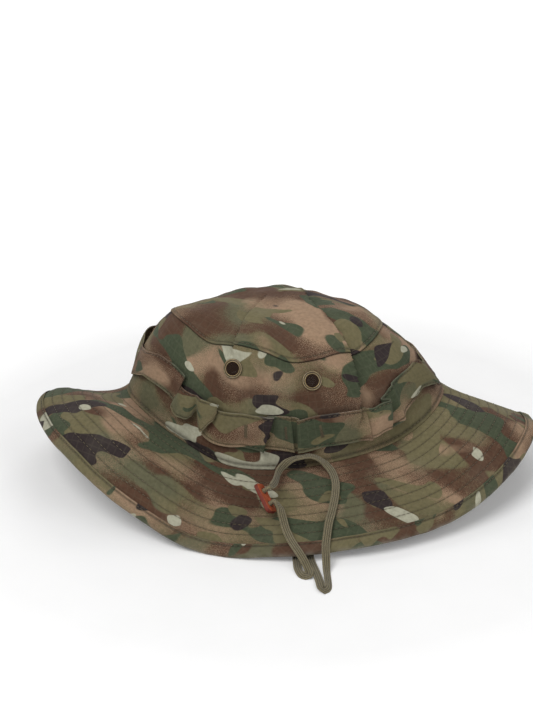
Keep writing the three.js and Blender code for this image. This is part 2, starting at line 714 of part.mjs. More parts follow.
ventFrames.forEach((frame, i) => {
  addPiece(cloths, `vent_eyelet_${i + 1}`, eyelet().applyMatrix4(frame), oliveBrass);
  addPiece(cloths, `vent_washer_${i + 1}`, washer().applyMatrix4(frame), oliveBrass);
  const seated = new THREE.Matrix4().makeTranslation(0, 0, ventLift);
  addPiece(cloths, `vent_screen_${i + 1}`, screen().applyMatrix4(seated).applyMatrix4(frame),
    darkBrass);
});

// The finished hat stands on the table at Z = 0, centred on its box in plan
const box = new THREE.Box3().setFromObject(cloths);
cloths.position.set(-(box.min.x + box.max.x) / 2, -(box.min.y + box.max.y) / 2, -tableLevel);
hat.add(cloths);
const asPoints = (list) => list.map((p) => new THREE.Vector3(...p));
addPiece(hat, 'chin_cord_near_run', cordTube([...asPoints(nearRun), ...straightOut(1)], nearSteps),
  cordCloth);
addPiece(hat, 'chin_cord_bight', cordTube(bight(), bightSteps), cordCloth);
addPiece(hat, 'chin_cord_far_run', cordTube([...asPoints(farRun), ...straightOut(-1)], farSteps),
  cordCloth);
addPiece(hat, 'cord_keeper', keeper().applyMatrix4(holder), leather);

export default hat;
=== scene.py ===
"""A soft sun hat standing on a table: sewn crown, stitched brim, looped foliage band, and a chin
cord with a leather keeper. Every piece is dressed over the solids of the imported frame.

Metres, +Z up. The hat's length runs along X and its near side faces -Y. A bearing is an angle in
degrees round the crown: 0 at +X, 90 at +Y, -90 at the near side.
"""

import math

import bpy
import numpy as np
from bpy.props import FloatProperty, FloatVectorProperty, PointerProperty
from mathutils import Matrix, Vector


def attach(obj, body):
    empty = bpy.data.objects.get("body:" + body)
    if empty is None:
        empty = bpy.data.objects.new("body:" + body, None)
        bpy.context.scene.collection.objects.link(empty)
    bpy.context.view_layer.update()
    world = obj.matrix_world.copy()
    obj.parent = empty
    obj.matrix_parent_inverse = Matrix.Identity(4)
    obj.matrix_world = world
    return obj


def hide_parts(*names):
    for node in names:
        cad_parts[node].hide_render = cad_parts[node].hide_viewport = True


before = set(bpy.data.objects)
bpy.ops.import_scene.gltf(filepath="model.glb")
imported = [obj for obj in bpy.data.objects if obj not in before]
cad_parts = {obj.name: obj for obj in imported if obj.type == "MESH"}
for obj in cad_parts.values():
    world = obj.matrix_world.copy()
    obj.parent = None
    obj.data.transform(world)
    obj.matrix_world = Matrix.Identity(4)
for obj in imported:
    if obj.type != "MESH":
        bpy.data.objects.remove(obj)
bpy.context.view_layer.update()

bl_info = {
    "name": "Soft Sun Hat",
    "version": (1, 0, 0),
    "blender": (4, 5, 0),
    "location": "3D View > Sidebar > Sun Hat",
    "description": "Dresses the solids of a soft wide-brimmed hat in cloth, thread, cord and brass",
    "category": "Object",
}

# Sizes that the solids fix. The tables of the brim and of the top seam are the ones that the
# solids were made from. Here the crown's top stands 2 mm higher, its folds are a little deeper,
# and the foliage band has folds that its solid leaves out.
HEAD_LENGTH = 0.207
HEAD_WIDTH = 0.156
BRIM_WIDTH = 0.0635
SEAM_RISE = 0.046
CROWN_RISE = 0.105
TOP_LENGTH = 0.135
TOP_WIDTH = 0.124
TOP_SHIFT = -0.0055
TOP_DOME = 0.012
# How far the crown side swells out at most, two thirds of the way up to the top seam.
SHOULDER_SWELL = 0.005
SEAT = 0.0003
OUTER_PLY = 0.0005
STIFFENER = 0.0006
TOP_CLOTH = 0.0012
SIDE_CLOTH = 0.0012
SEAM_TUCK = 0.002
STACK_HALF = STIFFENER / 2 + SEAT + OUTER_PLY
BINDING_WIDTH = 0.008
BINDING_CLOTH = 0.0006
BAND_HEIGHT = 0.0254
BAND_RISE = 0.012
BAND_CLOTH = 0.0008
SWEATBAND_HEIGHT = 0.028
SWEATBAND_CLOTH = 0.0012
SWEATBAND_INSET = 0.0028
SWEATBAND_DROP = 0.0025
VENT_CREST = 0.00145
# The hat's own middle lies this far from the middle of its box.
CLOTH_SHIFT = np.array([0.00009, 0.00024, 0.00045])
THOUSANDTH = 0.001

# Round the brim: bearing, seam height as a share of the seam's rise, and the droop of the cloth
# in degrees at the seam, at a third and two thirds of the width, and at the edge.
BRIM_SHARES = [
    (-180, 1, 36, -10, -8, 60), (-165, 1.043, 10, -24, 22, 56), (-150, 1.011, -18, -12, 24, 54),
    (-130, 0.826, -14, 4, 36, 60), (-110, 0.577, 2, 18, 34, 42), (-90, 0.576, 10, 20, 24, 28),
    (-70, 0.663, 12, 18, 26, 34), (-50, 0.761, 16, 22, 26, 32), (-30, 0.902, 4, 12, 28, 32),
    (-15, 0.989, 4, 8, 20, 24), (0, 0.989, 18, 20, 20, 22), (15, 0.935, 42, 42, 36, 30),
    (40, 0.793, 36, 36, 32, 30), (65, 0.641, 28, 27, 25, 24), (90, 0.565, 24, 23, 22, 20),
    (115, 0.635, 28, 27, 25, 24), (140, 0.815, 42, 36, 32, 28), (165, 0.957, 52, 20, 14, 34),
    (180, 1, 36, -10, -8, 60),
]
BRIM_CREASES = (0,)

# Height of the top seam round the crown, as a share of the crown's rise.
TOP_SEAM_SHARES = [
    (-180, 0.962), (-165, 1), (-145, 1), (-126, 0.943), (-110, 0.962), (-96, 0.933),
    (-83, 0.871), (-70, 0.871), (-58, 0.881), (-45, 0.848), (-30, 0.876), (-15, 0.9),
    (0, 0.876), (30, 0.833), (60, 0.824), (90, 0.867), (120, 0.848), (150, 0.857),
    (180, 0.962),
]
TOP_CENTRE_SHARE = 0.9

# Folds in the crown. Each follows points given as shares of half the head length, half the head
# width and the crown's rise. A ridge side stands proud, a hollow side sinks, and the ridge's lip
# leans over the hollow.
FOLDS = [
    {"line": [(0.05, 0.4, 0.97), (0.16, -0.13, 0.96), (0.24, -0.34, 0.93), (0.335, -0.6, 0.87),
              (0.4, -0.78, 0.66), (0.43, -0.9, 0.5)],
     "ridge": 0.0036, "ridge_reach": 0.014, "hollow": 0.0046, "hollow_reach": 0.007,
     "lean": 0.0022},
    {"line": [(-0.3, -0.8, 0.84), (-0.28, -0.74, 0.93), (-0.24, -0.45, 0.95),
              (-0.17, -0.12, 0.96), (-0.1, 0.18, 0.96)],
     "ridge": 0.0016, "ridge_reach": 0.008, "hollow": 0.0052, "hollow_reach": 0.006,
     "lean": 0.0024},
    {"line": [(-0.5, -0.74, 0.66), (-0.42, -0.83, 0.52), (-0.34, -0.9, 0.44)],
     "ridge": -0.0024, "ridge_reach": 0.009, "hollow": 0.0024, "hollow_reach": 0.009,
     "lean": 0},
]
FOLD_FADE = 0.016
FOLD_ROUND = 0.0014

# The foliage band round the crown: bearing, stand-off of its lower and upper edges, how far the
# two edges are pushed up, all in thousandths of a metre after the bearing, and how many degrees
# the lower edge is moved round. Where the bearing runs back, the band is folded over itself.
BAND_ROWS = [
    (-180, 0.8, 0.6, 0, 0, 0), (-175, 0.9, 0.7, 1.5, 0, 0), (-170, 1.2, 0.8, 3.5, 0.5, 0),
    (-165, 1.8, 1, 6.5, 1.5, 0), (-160, 2.4, 1.4, 9.5, 2.8, 0), (-155, 3, 1.6, 13, 5, 0),
    (-149, 3, 1.6, 14, 7.2, 0), (-143, 2.4, 1.2, 14.2, 8, 0), (-138, 1.8, 1, 13.4, 8, 0),
    (-134, 1.4, 1.4, 12, 7.6, -1.5), (-131.6, 1.4, 1.8, 11, 6.8, -3), (-132.2, 0.6, 0.8, 7, 4, -3),
    (-133.4, 0.4, 0.4, 6, 1, -2.4), (-133.2, 1.4, 0.9, 7, -1, -2.6),
    (-131.6, 2.8, 1.6, 7.4, -1.4, -3.2), (-130, 4, 2, 5, -1.4, -1.8),
    (-128.2, 4.4, 2.2, 6, -1, -0.8), (-126.6, 4, 2.4, 6.6, -0.6, -0.6),
    (-125.4, 2.6, 2.2, 9.5, -0.2, -0.3), (-124.6, 1.2, 1.8, 14.5, 0, 0.4),
    (-123.6, 3.4, 2.4, 9, 0.2, 1), (-122.3, 5.4, 3, 5, 0.4, 1.6), (-120.8, 5, 3, 8.5, 0.8, 1.6),
    (-119.2, 4.4, 2.8, 12.2, 1.2, 1), (-117.4, 3, 2.4, 15.4, 1.6, 0.7),
    (-115.6, 1.8, 1.9, 20, 2, 0), (-114.8, 1.2, 1.5, 22, 2, -0.6), (-115.6, 0.8, 0.9, 14, 0, -2),
    (-116.4, 0.4, 0.5, 4, -2, -4), (-115.2, 1, 0.6, 1.6, -2.2, -5.6),
    (-112.6, 1.6, 1, 0.2, -1.2, -3.8), (-109, 1.4, 0.9, 1.4, -0.2, -1.6),
    (-105.6, 0.8, 0.6, 3, 0.5, -0.2), (-103.4, 0.2, 0.2, 2.7, 0.3, 0),
    (-101.2, 0.9, 0.7, 2.4, 0.2, 0.4), (-97.5, 1.8, 1.2, 1.8, 0, -0.4),
    (-94.6, 3.2, 2.6, 2, -0.2, -2.6), (-92.6, 3.4, 2.6, 2.6, -0.3, -4.6),
    (-92.6, 2.2, 1.6, 2.6, -0.3, -4.4), (-94, 1.2, 1, 2.5, -0.4, -4),
    (-95, 0.5, 0.4, 2.5, -0.4, -3.6), (-93.4, 0.3, 0.25, 3, -0.4, -3.2),
    (-91, 0.4, 0.3, 2, -0.4, -1.6), (-88.6, 0.2, 0.2, 0.6, -0.6, -0.4),
    (-86.5, 1.6, 1.2, 0, -0.9, 0), (-85.7, 0.2, 0.2, 0, -1.4, -0.4),
    (-84.4, 0.1, 0.1, 0, -2.2, -0.9), (-83.3, 1, 0.8, 0, -3, -1.2), (-83.9, 2.6, 2, 0, -3.2, -1.3),
    (-82.6, 3, 2.2, 0, -3.2, -1.1), (-80, 2, 1.4, 0, -3, -0.5), (-75.8, 0.2, 0.2, 0, -2.9, 0),
    (-72, 1.6, 1, 0, -2.9, 0.6), (-67, 3, 1.8, 0, -2.9, 0.8), (-62, 3.2, 2, -0.4, -3.4, 0),
    (-58.5, 3.4, 2.2, -1.4, -4.6, -1), (-56, 3.6, 2.6, -2, -5.4, -2.3),
    (-56.2, 1.8, 1.6, -1.8, -5.2, -2.4), (-57.4, 0.6, 0.5, -1.4, -4.8, -2.2),
    (-56.4, 1, 0.8, -1, -5, -2.4), (-55, 4, 3.4, -0.2, -5.2, -2.8),
    (-53, 6.4, 5.4, 1.4, -4.6, -3.4), (-50, 7, 6, 2.8, -3.2, -4), (-47, 6.6, 5.8, 2.8, -3.6, -4.6),
    (-45, 6.2, 5.6, 2.4, -4.2, -5), (-44, 5, 4.6, 2.2, -4.4, -5.2), (-44.8, 3.2, 3, 2, -4, -4.6),
    (-46.6, 1.5, 1.2, 1, -3.6, -3.6), (-46.4, 0.4, 0.4, -1, -3.4, -3),
    (-43.6, 0.3, 0.3, -1, -2, -3.4), (-41.4, 2, 1.4, 0, 0.6, -3), (-39.4, 3.8, 3, 1.6, 2.8, -2.4),
    (-38, 2.6, 1.8, 3, 3.2, -2.6), (-34, 1.6, 1.6, 5, 3.8, -4), (-28, 2.2, 2.4, 8, 4, -2.6),
    (-24, 3, 3, 10.5, 4.2, -1), (-20.5, 4.4, 4.4, 9, 5.4, 0), (-17.6, 5.2, 5.4, 6.5, 4.6, 0.6),
    (-14.4, 5, 5, 1.5, 0, 1), (-9, 3, 2.4, 0, 0, 0), (-4, 1, 0.8, 0, 0, 0), (0, 0.4, 0.3, 0, 0, 0),
    (10, 0.5, 0.4, 0, 0, 0), (22, 0.6, 0.5, 0, 0, 0), (34, 0.4, 0.3, 0, 0, 0),
    (42, 0.4, 0.3, 0, 0, 0), (48, 5, 2.5, 1, 0, 0), (53, 9, 4, -1, 0, 0), (56, 10, 5, 1, 0, 0),
    (60, 8, 4, 0, 0, 0), (64, 4, 2, 0, 0, 0), (68, 0.4, 0.3, 0, 0, 0), (73, 2, 1, 0, 0, 0),
    (78, 3, 1.5, 0, 0, 0), (83, 2, 1, 0, 0, 0), (88, 0.4, 0.3, 0, 0, 0), (93, 2, 1, 0, 0, 0),
    (98, 3, 1.5, 0, 0, 0), (103, 2, 1, 0, 0, 0), (108, 0.4, 0.3, 0, 0, 0), (112, 5, 2, 0, 0, 0),
    (117, 9, 4, 1, 0, 0), (120, 10, 5, -1, 0, 0), (124, 8, 4, 1, 0, 0), (128, 4, 2, 0, 0, 0),
    (132, 0.8, 0.6, 0, 0, 0), (137, 2, 2, 0, 0, 0), (142, 3, 3, 0, 1, 0), (150, 3.6, 4.4, 0, 3, 0),
    (158, 4, 6, 1, 4.5, 0), (164, 4, 6.5, 2, 5.5, 0), (170, 3, 5, 2, 4, 0),
    (175, 1.6, 2.4, 1, 1.5, 0), (179.4, 0.9, 0.8, 0, 0, 0),
]
# Middles of the bar tacks that hold the band: bearing and height over the band's lower edge.
BAND_TACKS = ((-103.5, 14.5), (-88.5, 13.5), (-75.5, 11.5), (-43.8, 11))

# Chin cord, in thousandths of a metre. Its two runs are pinned inside the sweatband, and each
# list starts there and ends in front of the keeper.
NEAR_RUN = [
    (4, -74.5, 25.5), (4, -74.3, 20), (4.2, -74.6, 12), (4.8, -77, 5.5), (5.4, -82.5, 2.2),
    (5.8, -92, 1.5), (6.1, -108, 1.5), (6.3, -124, 1.5), (6.4, -136.3, 1.5), (7.4, -146, 1.5),
    (9.8, -151.6, 1.5), (12.7, -152, 1.5), (13.5, -149, 1.5), (12.5, -145.8, 2.6),
    (10.6, -142.8, 5.4), (8, -139.3, 8.2), (3.2, -131.7, 12), (0.2, -125, 15.6),
    (-1.8, -119, 20.4), (-3.6, -115, 24.8),
]
FAR_RUN = [
    (0, 74.5, 24.9), (0, 74.3, 18), (0.3, 73, 10), (1, 69, 4.6), (2, 62, 2), (4, 50, 1.5),
    (7, 30, 1.5), (10, 4, 1.5), (12, -26, 1.5), (13, -56, 1.5), (13.3, -86, 1.5),
    (13.5, -112, 1.5), (14.1, -134, 1.5), (15.9, -143, 1.5), (17.6, -150.5, 1.5),
    (18.9, -157.5, 1.5), (19.8, -163, 1.5), (21.7, -165.8, 1.5), (23.5, -163, 1.5),
    (23.7, -155, 1.5), (23.3, -147.6, 2.2), (23, -141.5, 6.4), (22.9, -135.8, 10.2),
    (23.6, -130, 13.2), (25, -121.5, 17.3), (27.5, -112, 21.7), (29.4, -102, 26),
    (29.6, -93.5, 29), (27.3, -85, 31.8), (22.6, -80.6, 35.2), (18, -79.9, 37.9),
    (13.9, -79.8, 38.8), (8.7, -80, 38), (3.5, -80.4, 36.3), (-0.8, -82.4, 33.8),
    (-3.8, -87.5, 32), (-4.9, -94.5, 31.7), (-5.9, -100.5, 32.2), (-7.6, -104.9, 32.4),
]
KEEPER_PLACE = (-0.0118, -0.1094, 0.0263)
KEEPER_LENGTHWISE = (0.428, -0.686, -0.588)
KEEPER_FACING = (0.789, -0.033, 0.613)
KEEPER_LENGTH = 0.019
KEEPER_WIDTH = 0.010
KEEPER_THICKNESS = 0.0024
KEEPER_CORNER = 0.0025
KEEPER_HOLE_SPACING = 0.0086
KEEPER_HOLE = 0.0034
KEEPER_RIM = 0.00035
KEEPER_STRAIGHT = 0.003
# The bight lies this far behind the keeper, and bows out by this much more.
BIGHT_GAP = 0.0009
BIGHT_BOW = 0.0006
# The braid lies this far into its route, so that it rests on what is below.
CORD_SINK = 0.0005
# The braid draws together near the keeper's middle, to these halves of its width and thickness.
BUNCH_FROM = 0.0062
BUNCH_FADE = 0.004
BUNCHED_HALF_WIDTH = 0.0015
BUNCHED_HALF_THICKNESS = 0.0013
# Pitch of the braid's yarns along it and across it.
YARN_ALONG = 0.0014
YARN_ACROSS = 0.0011

# Sewing
BRIM_ROWS = 8
BRIM_ROW_FIRST = 0.005
BRIM_ROW_PITCH = 0.00635
BINDING_ROW_INSET = 0.0016
TOP_ROW_INSET = 0.0018
SIDE_ROW_RISE = 0.0026
BAND_ROW_INSET = 0.002
# The cloth is made a little thinner than its solid, by these shares.
STIFFENER_SHARE = 0.7
BINDING_SHARE = 0.85
SIDE_SHARE = 0.8
TOP_SHARE = 0.7
BAND_SHARE = 0.8
# How deep each row of stitches draws in the cloth, and how far its thread stands off.
BRIM_GROOVE = 0.0001
BINDING_GROOVE = 0.00026
SIDE_GROOVE = 0.0003
TOP_GROOVE = 0.00015
BAND_GROOVE = 0.00018
BRIM_THREAD_LIFT = 0.00012
SIDE_THREAD_LIFT = 0.0001
END_THREAD_LIFT = 0.0002
TOP_THREAD_LIFT = 0.00015
TOP_THREAD_DROP = 0.0001
BAND_THREAD_LIFT = 0.0001
# Bar tacks of the band, and the rows beside the crown's end seams. Widths are in degrees.
TACK_HALF_WIDTH = 0.7
TACK_HALF_HEIGHT = 0.0042
TACK_STITCHES = 19
TACK_LIFT = 0.0002
END_ROW_BESIDE = 1.6

# The crown side at its two end seams: drawn in beside them, and a little proud farther off.
END_SEAM_PULL = 0.0009
END_SEAM_WIDTH = 0.0014
END_SEAM_PUFF = 0.0003
END_SEAM_PUFF_AT = 0.0035
END_SEAM_PUFF_WIDTH = 0.0025
# The top of the crown side, as shares of its height: tucked in, and lifted to its seam.
SIDE_TUCK = 0.0005
SIDE_TUCK_FROM = 0.975
SIDE_TUCK_SPAN = 0.025
SIDE_LIFT = 0.0006
SIDE_LIFT_FROM = 0.93
SIDE_LIFT_SPAN = 0.07
# The top panel, by distances from its seam: a ridge beside it, then the seam allowance below.
TOP_RIDGE = 0.0002
TOP_RIDGE_AT = 0.0007
TOP_RIDGE_WIDTH = 0.0011
ALLOWANCE = 0.00015
ALLOWANCE_END = 0.007
ALLOWANCE_FADE = 0.002
ALLOWANCE_START = 0.004
# The binding's two ends stop this share of half the way round short of meeting.
BINDING_ENDS = 0.0003
SWEATBAND_RIBS = (0.0025, 0.0255)
SWEATBAND_RIB_WIDTH = 0.001
SWEATBAND_RIB_DEPTH = 0.0002

# How the cloth lies under a vent's flange: level as far as a radius, then fading back, with a
# ring pressed in beside the flange and a hole in the middle.
VENT_LEVEL_RADIUS = 0.0062
VENT_LEVEL_FADE = 0.0045
VENT_DIMPLE = 0.0002
VENT_DIMPLE_RADIUS = 0.0078
VENT_DIMPLE_WIDTH = 0.0012
VENT_REACH = 0.012
VENT_CLOTH_HOLE = 0.0044

# Lowest that cloth and cord come to the table.
FLOOR_CLEARANCE = 0.0001

# The camera stands where the photograph's perspective puts it.
CAMERA_PLACE = (0.00009, -0.66196, 0.35255)
CAMERA_TILT = 62
CAMERA_LENS = 55.82
CAMERA_SENSOR = 36
CAMERA_SHIFT = (-0.0270, 0.1318)
LAMP_AIM = (0, 0, 0.04)
# The floor's glow grows between these distances from the hat.
GLOW_FROM = 0.22
GLOW_TO = 0.7


def srgb(red, green, blue):
    """A colour given as three numbers up to 255, as Blender's linear values."""
    shares = [value / 255 for value in (red, green, blue)]
    return (*[((s + 0.055) / 1.055) ** 2.4 if s > 0.04045 else s / 12.92 for s in shares], 1)


# Surfaces of the folded cloth

def unit(vectors):
    return vectors / np.linalg.norm(vectors, axis=-1, keepdims=True)


def ease(share):
    """Runs from 0 to 1 with level ends."""
    s = np.clip(share, 0, 1)
    return s * s * (3 - 2 * s)


def read_table(table, column, bearing, corners=()):
    """Reads a column at bearings, on a smooth closed curve that may turn at the corners."""
    rows = np.array(table, dtype=float)
    places, values = rows[:, 0], rows[:, column]
    spans = np.diff(places)
    slopes = np.diff(values) / spans
    before, after = np.r_[slopes[-1], slopes], np.r_[slopes, slopes[0]]
    span_before, span_after = np.r_[spans[-1], spans], np.r_[spans, spans[0]]
    tangent = (before * span_after + after * span_before) / (span_before + span_after)
    sharp = np.isin(places, corners)
    leaving, arriving = np.where(sharp, after, tangent), np.where(sharp, before, tangent)
    b = (bearing - places[0]) % (places[-1] - places[0]) + places[0]
    row = np.clip(np.searchsorted(places, b, side="right") - 1, 0, len(places) - 2)
    h = spans[row]
    t = (b - places[row]) / h
    return ((2 * t**3 - 3 * t**2 + 1) * values[row] + (t**3 - 2 * t**2 + t) * h * leaving[row]
            + (3 * t**2 - 2 * t**3) * values[row + 1] + (t**3 - t**2) * h * arriving[row + 1])


def outward(bearing):
    """Square to the head oval, in plan."""
    a = np.radians(bearing)
    return unit(np.stack([HEAD_WIDTH * np.cos(a), HEAD_LENGTH * np.sin(a), 0 * a], -1))


def seam_point(bearing):
    a = np.radians(bearing)
    height = SEAM_RISE * read_table(BRIM_SHARES, 1, bearing, BRIM_CREASES)
    return np.stack([HEAD_LENGTH / 2 * np.cos(a), HEAD_WIDTH / 2 * np.sin(a), height], -1)


def brim_point(bearing, reach):
    """Middle of the brim's thickness, at a distance from the seam along the cloth."""
    droops = [read_table(BRIM_SHARES, column, bearing, BRIM_CREASES) for column in (2, 3, 4, 5)]
    point = seam_point(bearing)
    out = outward(bearing)
    steps = 12
    for i in range(steps):
        along = np.clip((i + 0.5) / steps * reach / BRIM_WIDTH, 0, None) * 3
        span = np.minimum(np.floor(along), 2)
        mix = along - span
        low = np.select([span == 0, span == 1], droops[:2], droops[2])
        high = np.select([span == 0, span == 1], droops[1:3], droops[3])
        droop = np.radians(low * (1 - mix) + high * mix)
        point = point + out * (np.cos(droop) * reach / steps)[..., None]
        point[..., 2] -= np.sin(droop) * reach / steps
    return point


def square_to(point_at, bearing, along, step):
    turn = 1.5
    round_it = point_at(bearing + turn, along) - point_at(bearing - turn, along)
    across = point_at(bearing, along + step) - point_at(bearing, along - step)
    return unit(np.cross(across, round_it))


def brim_square(bearing, reach):
    return square_to(brim_point, bearing, np.maximum(reach, SEAM_TUCK), SEAM_TUCK)


def brim_layer(bearing, reach, lift):
    """A point of the brim off the middle of its thickness, up for a positive lift."""
    bearing, reach, lift = np.broadcast_arrays(*map(np.asarray, (bearing, reach, lift)))
    bearing, reach = bearing.astype(float), reach.astype(float)
    return brim_point(bearing, reach) + brim_square(bearing, reach) * lift[..., None]


def fold_shift(points):
    """How the folds move points of the crown."""
    direction = unit(points - np.array([TOP_SHIFT / 2, 0, SEAM_RISE]))
    shift = np.zeros_like(points)
    for fold in FOLDS:
        line = np.array(fold["line"]) * (HEAD_LENGTH / 2, HEAD_WIDTH / 2, CROWN_RISE)
        nearest = np.full(points.shape[:-1], np.inf)
        side, place = np.ones_like(nearest), np.zeros_like(nearest)
        across = np.zeros_like(points)
        travelled = 0
        for start, end in zip(line[:-1], line[1:]):
            run = end - start
            length = np.linalg.norm(run)
            share = np.clip((points - start) @ run / length**2, 0, 1)
            away = points - start - share[..., None] * run
            gap = np.linalg.norm(away, axis=-1)
            closer = gap < nearest
            turned = np.sum(np.cross(run, away) * points, axis=-1)
            nearest = np.where(closer, gap, nearest)
            side = np.where(closer, np.where(turned < 0, 1, -1), side)
            place = np.where(closer, travelled + share * length, place)
            across = np.where(closer[..., None], unit(np.cross(run, direction)), across)
            travelled += length
        fade = ease(np.minimum(place, travelled - place) / FOLD_FADE)
        signed = nearest * side
        lip = ease((signed / FOLD_ROUND + 1) / 2)
        ridge = fold["ridge"] * np.exp(-(np.maximum(signed, 0) / fold["ridge_reach"]) ** 2)
        hollow = fold["hollow"] * np.exp(-(np.minimum(signed, 0) / fold["hollow_reach"]) ** 2)
        shift += direction * (fade * (lip * ridge - (1 - lip) * hollow))[..., None]
        leaning = fade * fold["lean"] * np.exp(-(((signed - FOLD_ROUND) / (3 * FOLD_ROUND)) ** 2))
        shift -= across * leaning[..., None]
    return shift


def ripple(points, wave, seed):
    """Soft unevenness of cloth, about -1 to 1, from a few crossing waves."""
    rng = np.random.default_rng(seed)
    waves = 9
    total = 0
    for _ in range(waves):
        heading = unit(rng.normal(size=3))
        length = wave * rng.uniform(0.6, 1.7)
        total = total + np.sin(points @ heading * (2 * math.pi / length) + rng.uniform(0, 7))
    return total / math.sqrt(waves) * 0.8


def top_seam_point(bearing):
    a = np.radians(bearing)
    height = CROWN_RISE * read_table(TOP_SEAM_SHARES, 1, bearing)
    return np.stack([TOP_SHIFT + TOP_LENGTH / 2 * np.cos(a), TOP_WIDTH / 2 * np.sin(a), height],
                    -1)


def side_point(bearing, share):
    """Outer face of the crown side, from the brim seam at 0 to the top seam at 1."""
    bearing, share = np.broadcast_arrays(*map(np.asarray, (bearing, share)))
    bearing, share = bearing.astype(float), share.astype(float)
    foot = brim_layer(bearing, 0.0, STACK_HALF + SEAT)
    point = foot + (top_seam_point(bearing) - foot) * share[..., None]
    swell = SHOULDER_SWELL * 27 / 4 * share**2 * (1 - share)
    point = point + outward(bearing) * swell[..., None]
    point = point + fold_shift(point) * ease(share * 8)[..., None]
    point[..., 2] -= (TOP_CLOTH + SEAT) * share
    return point


def side_length(bearing):
    return np.linalg.norm(top_seam_point(bearing) - seam_point(bearing), axis=-1)


def top_point(bearing, share):
    """Upper face of the top panel, from its middle at 0 to its seam at 1."""
    bearing, share = np.broadcast_arrays(*map(np.asarray, (bearing, share)))
    bearing, share = bearing.astype(float), share.astype(float)
    rim = top_seam_point(bearing)
    centre = np.array([TOP_SHIFT, 0, CROWN_RISE * TOP_CENTRE_SHARE])
    point = centre + (rim - centre) * share[..., None]
    point[..., 2] = centre[2] + (rim[..., 2] - centre[2]) * share**2
    point[..., 2] += TOP_DOME * (1 - share**4)
    return point + fold_shift(point)


def top_square(bearing, share):
    return square_to(top_point, bearing, np.clip(share, 0.03, 0.97), 0.02)


# Meshes

def deselect_all():
    bpy.ops.object.select_all(action="DESELECT")


def make_active(piece):
    deselect_all()
    piece.select_set(True)
    bpy.context.view_layer.objects.active = piece


def grid_faces(rows, columns, closed, flip=False):
    """Quads of a grid stored row by row, its columns running round the hat."""
    r, c = np.meshgrid(np.arange(rows - 1), np.arange(columns if closed else columns - 1),
                       indexing="ij")
    a = r * columns + c
    b = r * columns + (c + 1) % columns
    quads = [a, b, b + columns, a + columns]
    return np.stack(quads[::-1] if flip else quads, -1).reshape(-1, 4)


def new_piece(name, points, faces, flat=None, wear=None, seam=None, smooth=60):
    """A mesh object with cloth coordinates, and its wear and its seam mark at each point. The seam
    mark is painted shade along stitches, seams and grooves.
    """
    mesh = bpy.data.meshes.new(name)
    mesh.from_pydata(np.asarray(points).reshape(-1, 3).tolist(), [], [list(f) for f in faces])
    count = len(mesh.vertices)
    if flat is not None:
        layer = mesh.attributes.new("flat", "FLOAT_VECTOR", "POINT")
        layer.data.foreach_set("vector", np.asarray(flat, dtype=np.float32).reshape(-1))
    # wear is rubbed wear; seam holds painted shade along stitches, seams and grooves, darkened in
    # the materials
    for label, values in (("wear", wear), ("seam", seam)):
        values = np.zeros(count) if values is None else np.asarray(values).reshape(-1)
        layer = mesh.attributes.new(label, "FLOAT", "POINT")
        layer.data.foreach_set("value", values.astype(np.float32))
    mesh.shade_smooth()
    mesh.set_sharp_from_angle(angle=math.radians(smooth))
    mesh.update()
    piece = bpy.data.objects.new(name, mesh)
    bpy.context.scene.collection.objects.link(piece)
    return piece


def thicken(piece, thickness):
    """Gives a single layer of cloth its thickness, its back in the second material."""
    make_active(piece)
    modifier = piece.modifiers.new("thickness", "SOLIDIFY")
    modifier.thickness = thickness
    modifier.offset = -1
    modifier.use_quality_normals = True
    modifier.material_offset = 1 if len(piece.data.materials) > 1 else 0
    bpy.ops.object.modifier_apply(modifier=modifier.name)


def dress(piece, body, slot, materials, *nodes):
    """Gives a piece its finish, ties it to its body, and hides the solids that it stands for."""
    for material in materials:
        piece.data.materials.append(material)
    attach(piece, body)
    if nodes:
        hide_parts(*nodes)


def ring_lengths(points):
    """Distance along a line of points, from its start."""
    steps = np.linalg.norm(np.diff(points, axis=0), axis=-1)
    return np.r_[0, np.cumsum(steps)]


def sweep(name, path, across, section, seam=None, smooth=60):
    """A closed bar with a section of (across, lift) corners, or one section for each point. Where
    painted shade for its grooves is given, it also keeps clear of the table."""
    path, across = np.asarray(path), unit(np.asarray(across))
    along = unit(np.gradient(path, axis=0))
    across = unit(across - along * np.sum(across * along, axis=-1, keepdims=True))
    lift = np.cross(along, across)
    section = np.broadcast_to(section, (len(path), *np.shape(section)[-2:]))
    points = (path[:, None] + across[:, None] * section[..., :1] + lift[:, None] * section[..., 1:])
    count = section.shape[1]
    faces = grid_faces(len(path), count, True, flip=True).tolist()
    faces.append(list(range(count)))
    faces.append([len(path) * count - 1 - i for i in range(count)])
    flat = np.zeros_like(points)
    flat[..., 0] = ring_lengths(path)[:, None]
    around = np.linalg.norm(np.diff(section[0], axis=0), axis=-1)
    flat[..., 1] = np.r_[0, np.cumsum(around)]
    # seam: painted shade in the grooves, kept as a point attribute
    if seam is not None:
        points[..., 2] = np.maximum(points[..., 2], FLOOR_CLEARANCE)
        seam = np.broadcast_to(seam, points.shape[:2])
    return new_piece(name, points, faces, flat=flat, seam=seam, smooth=smooth)


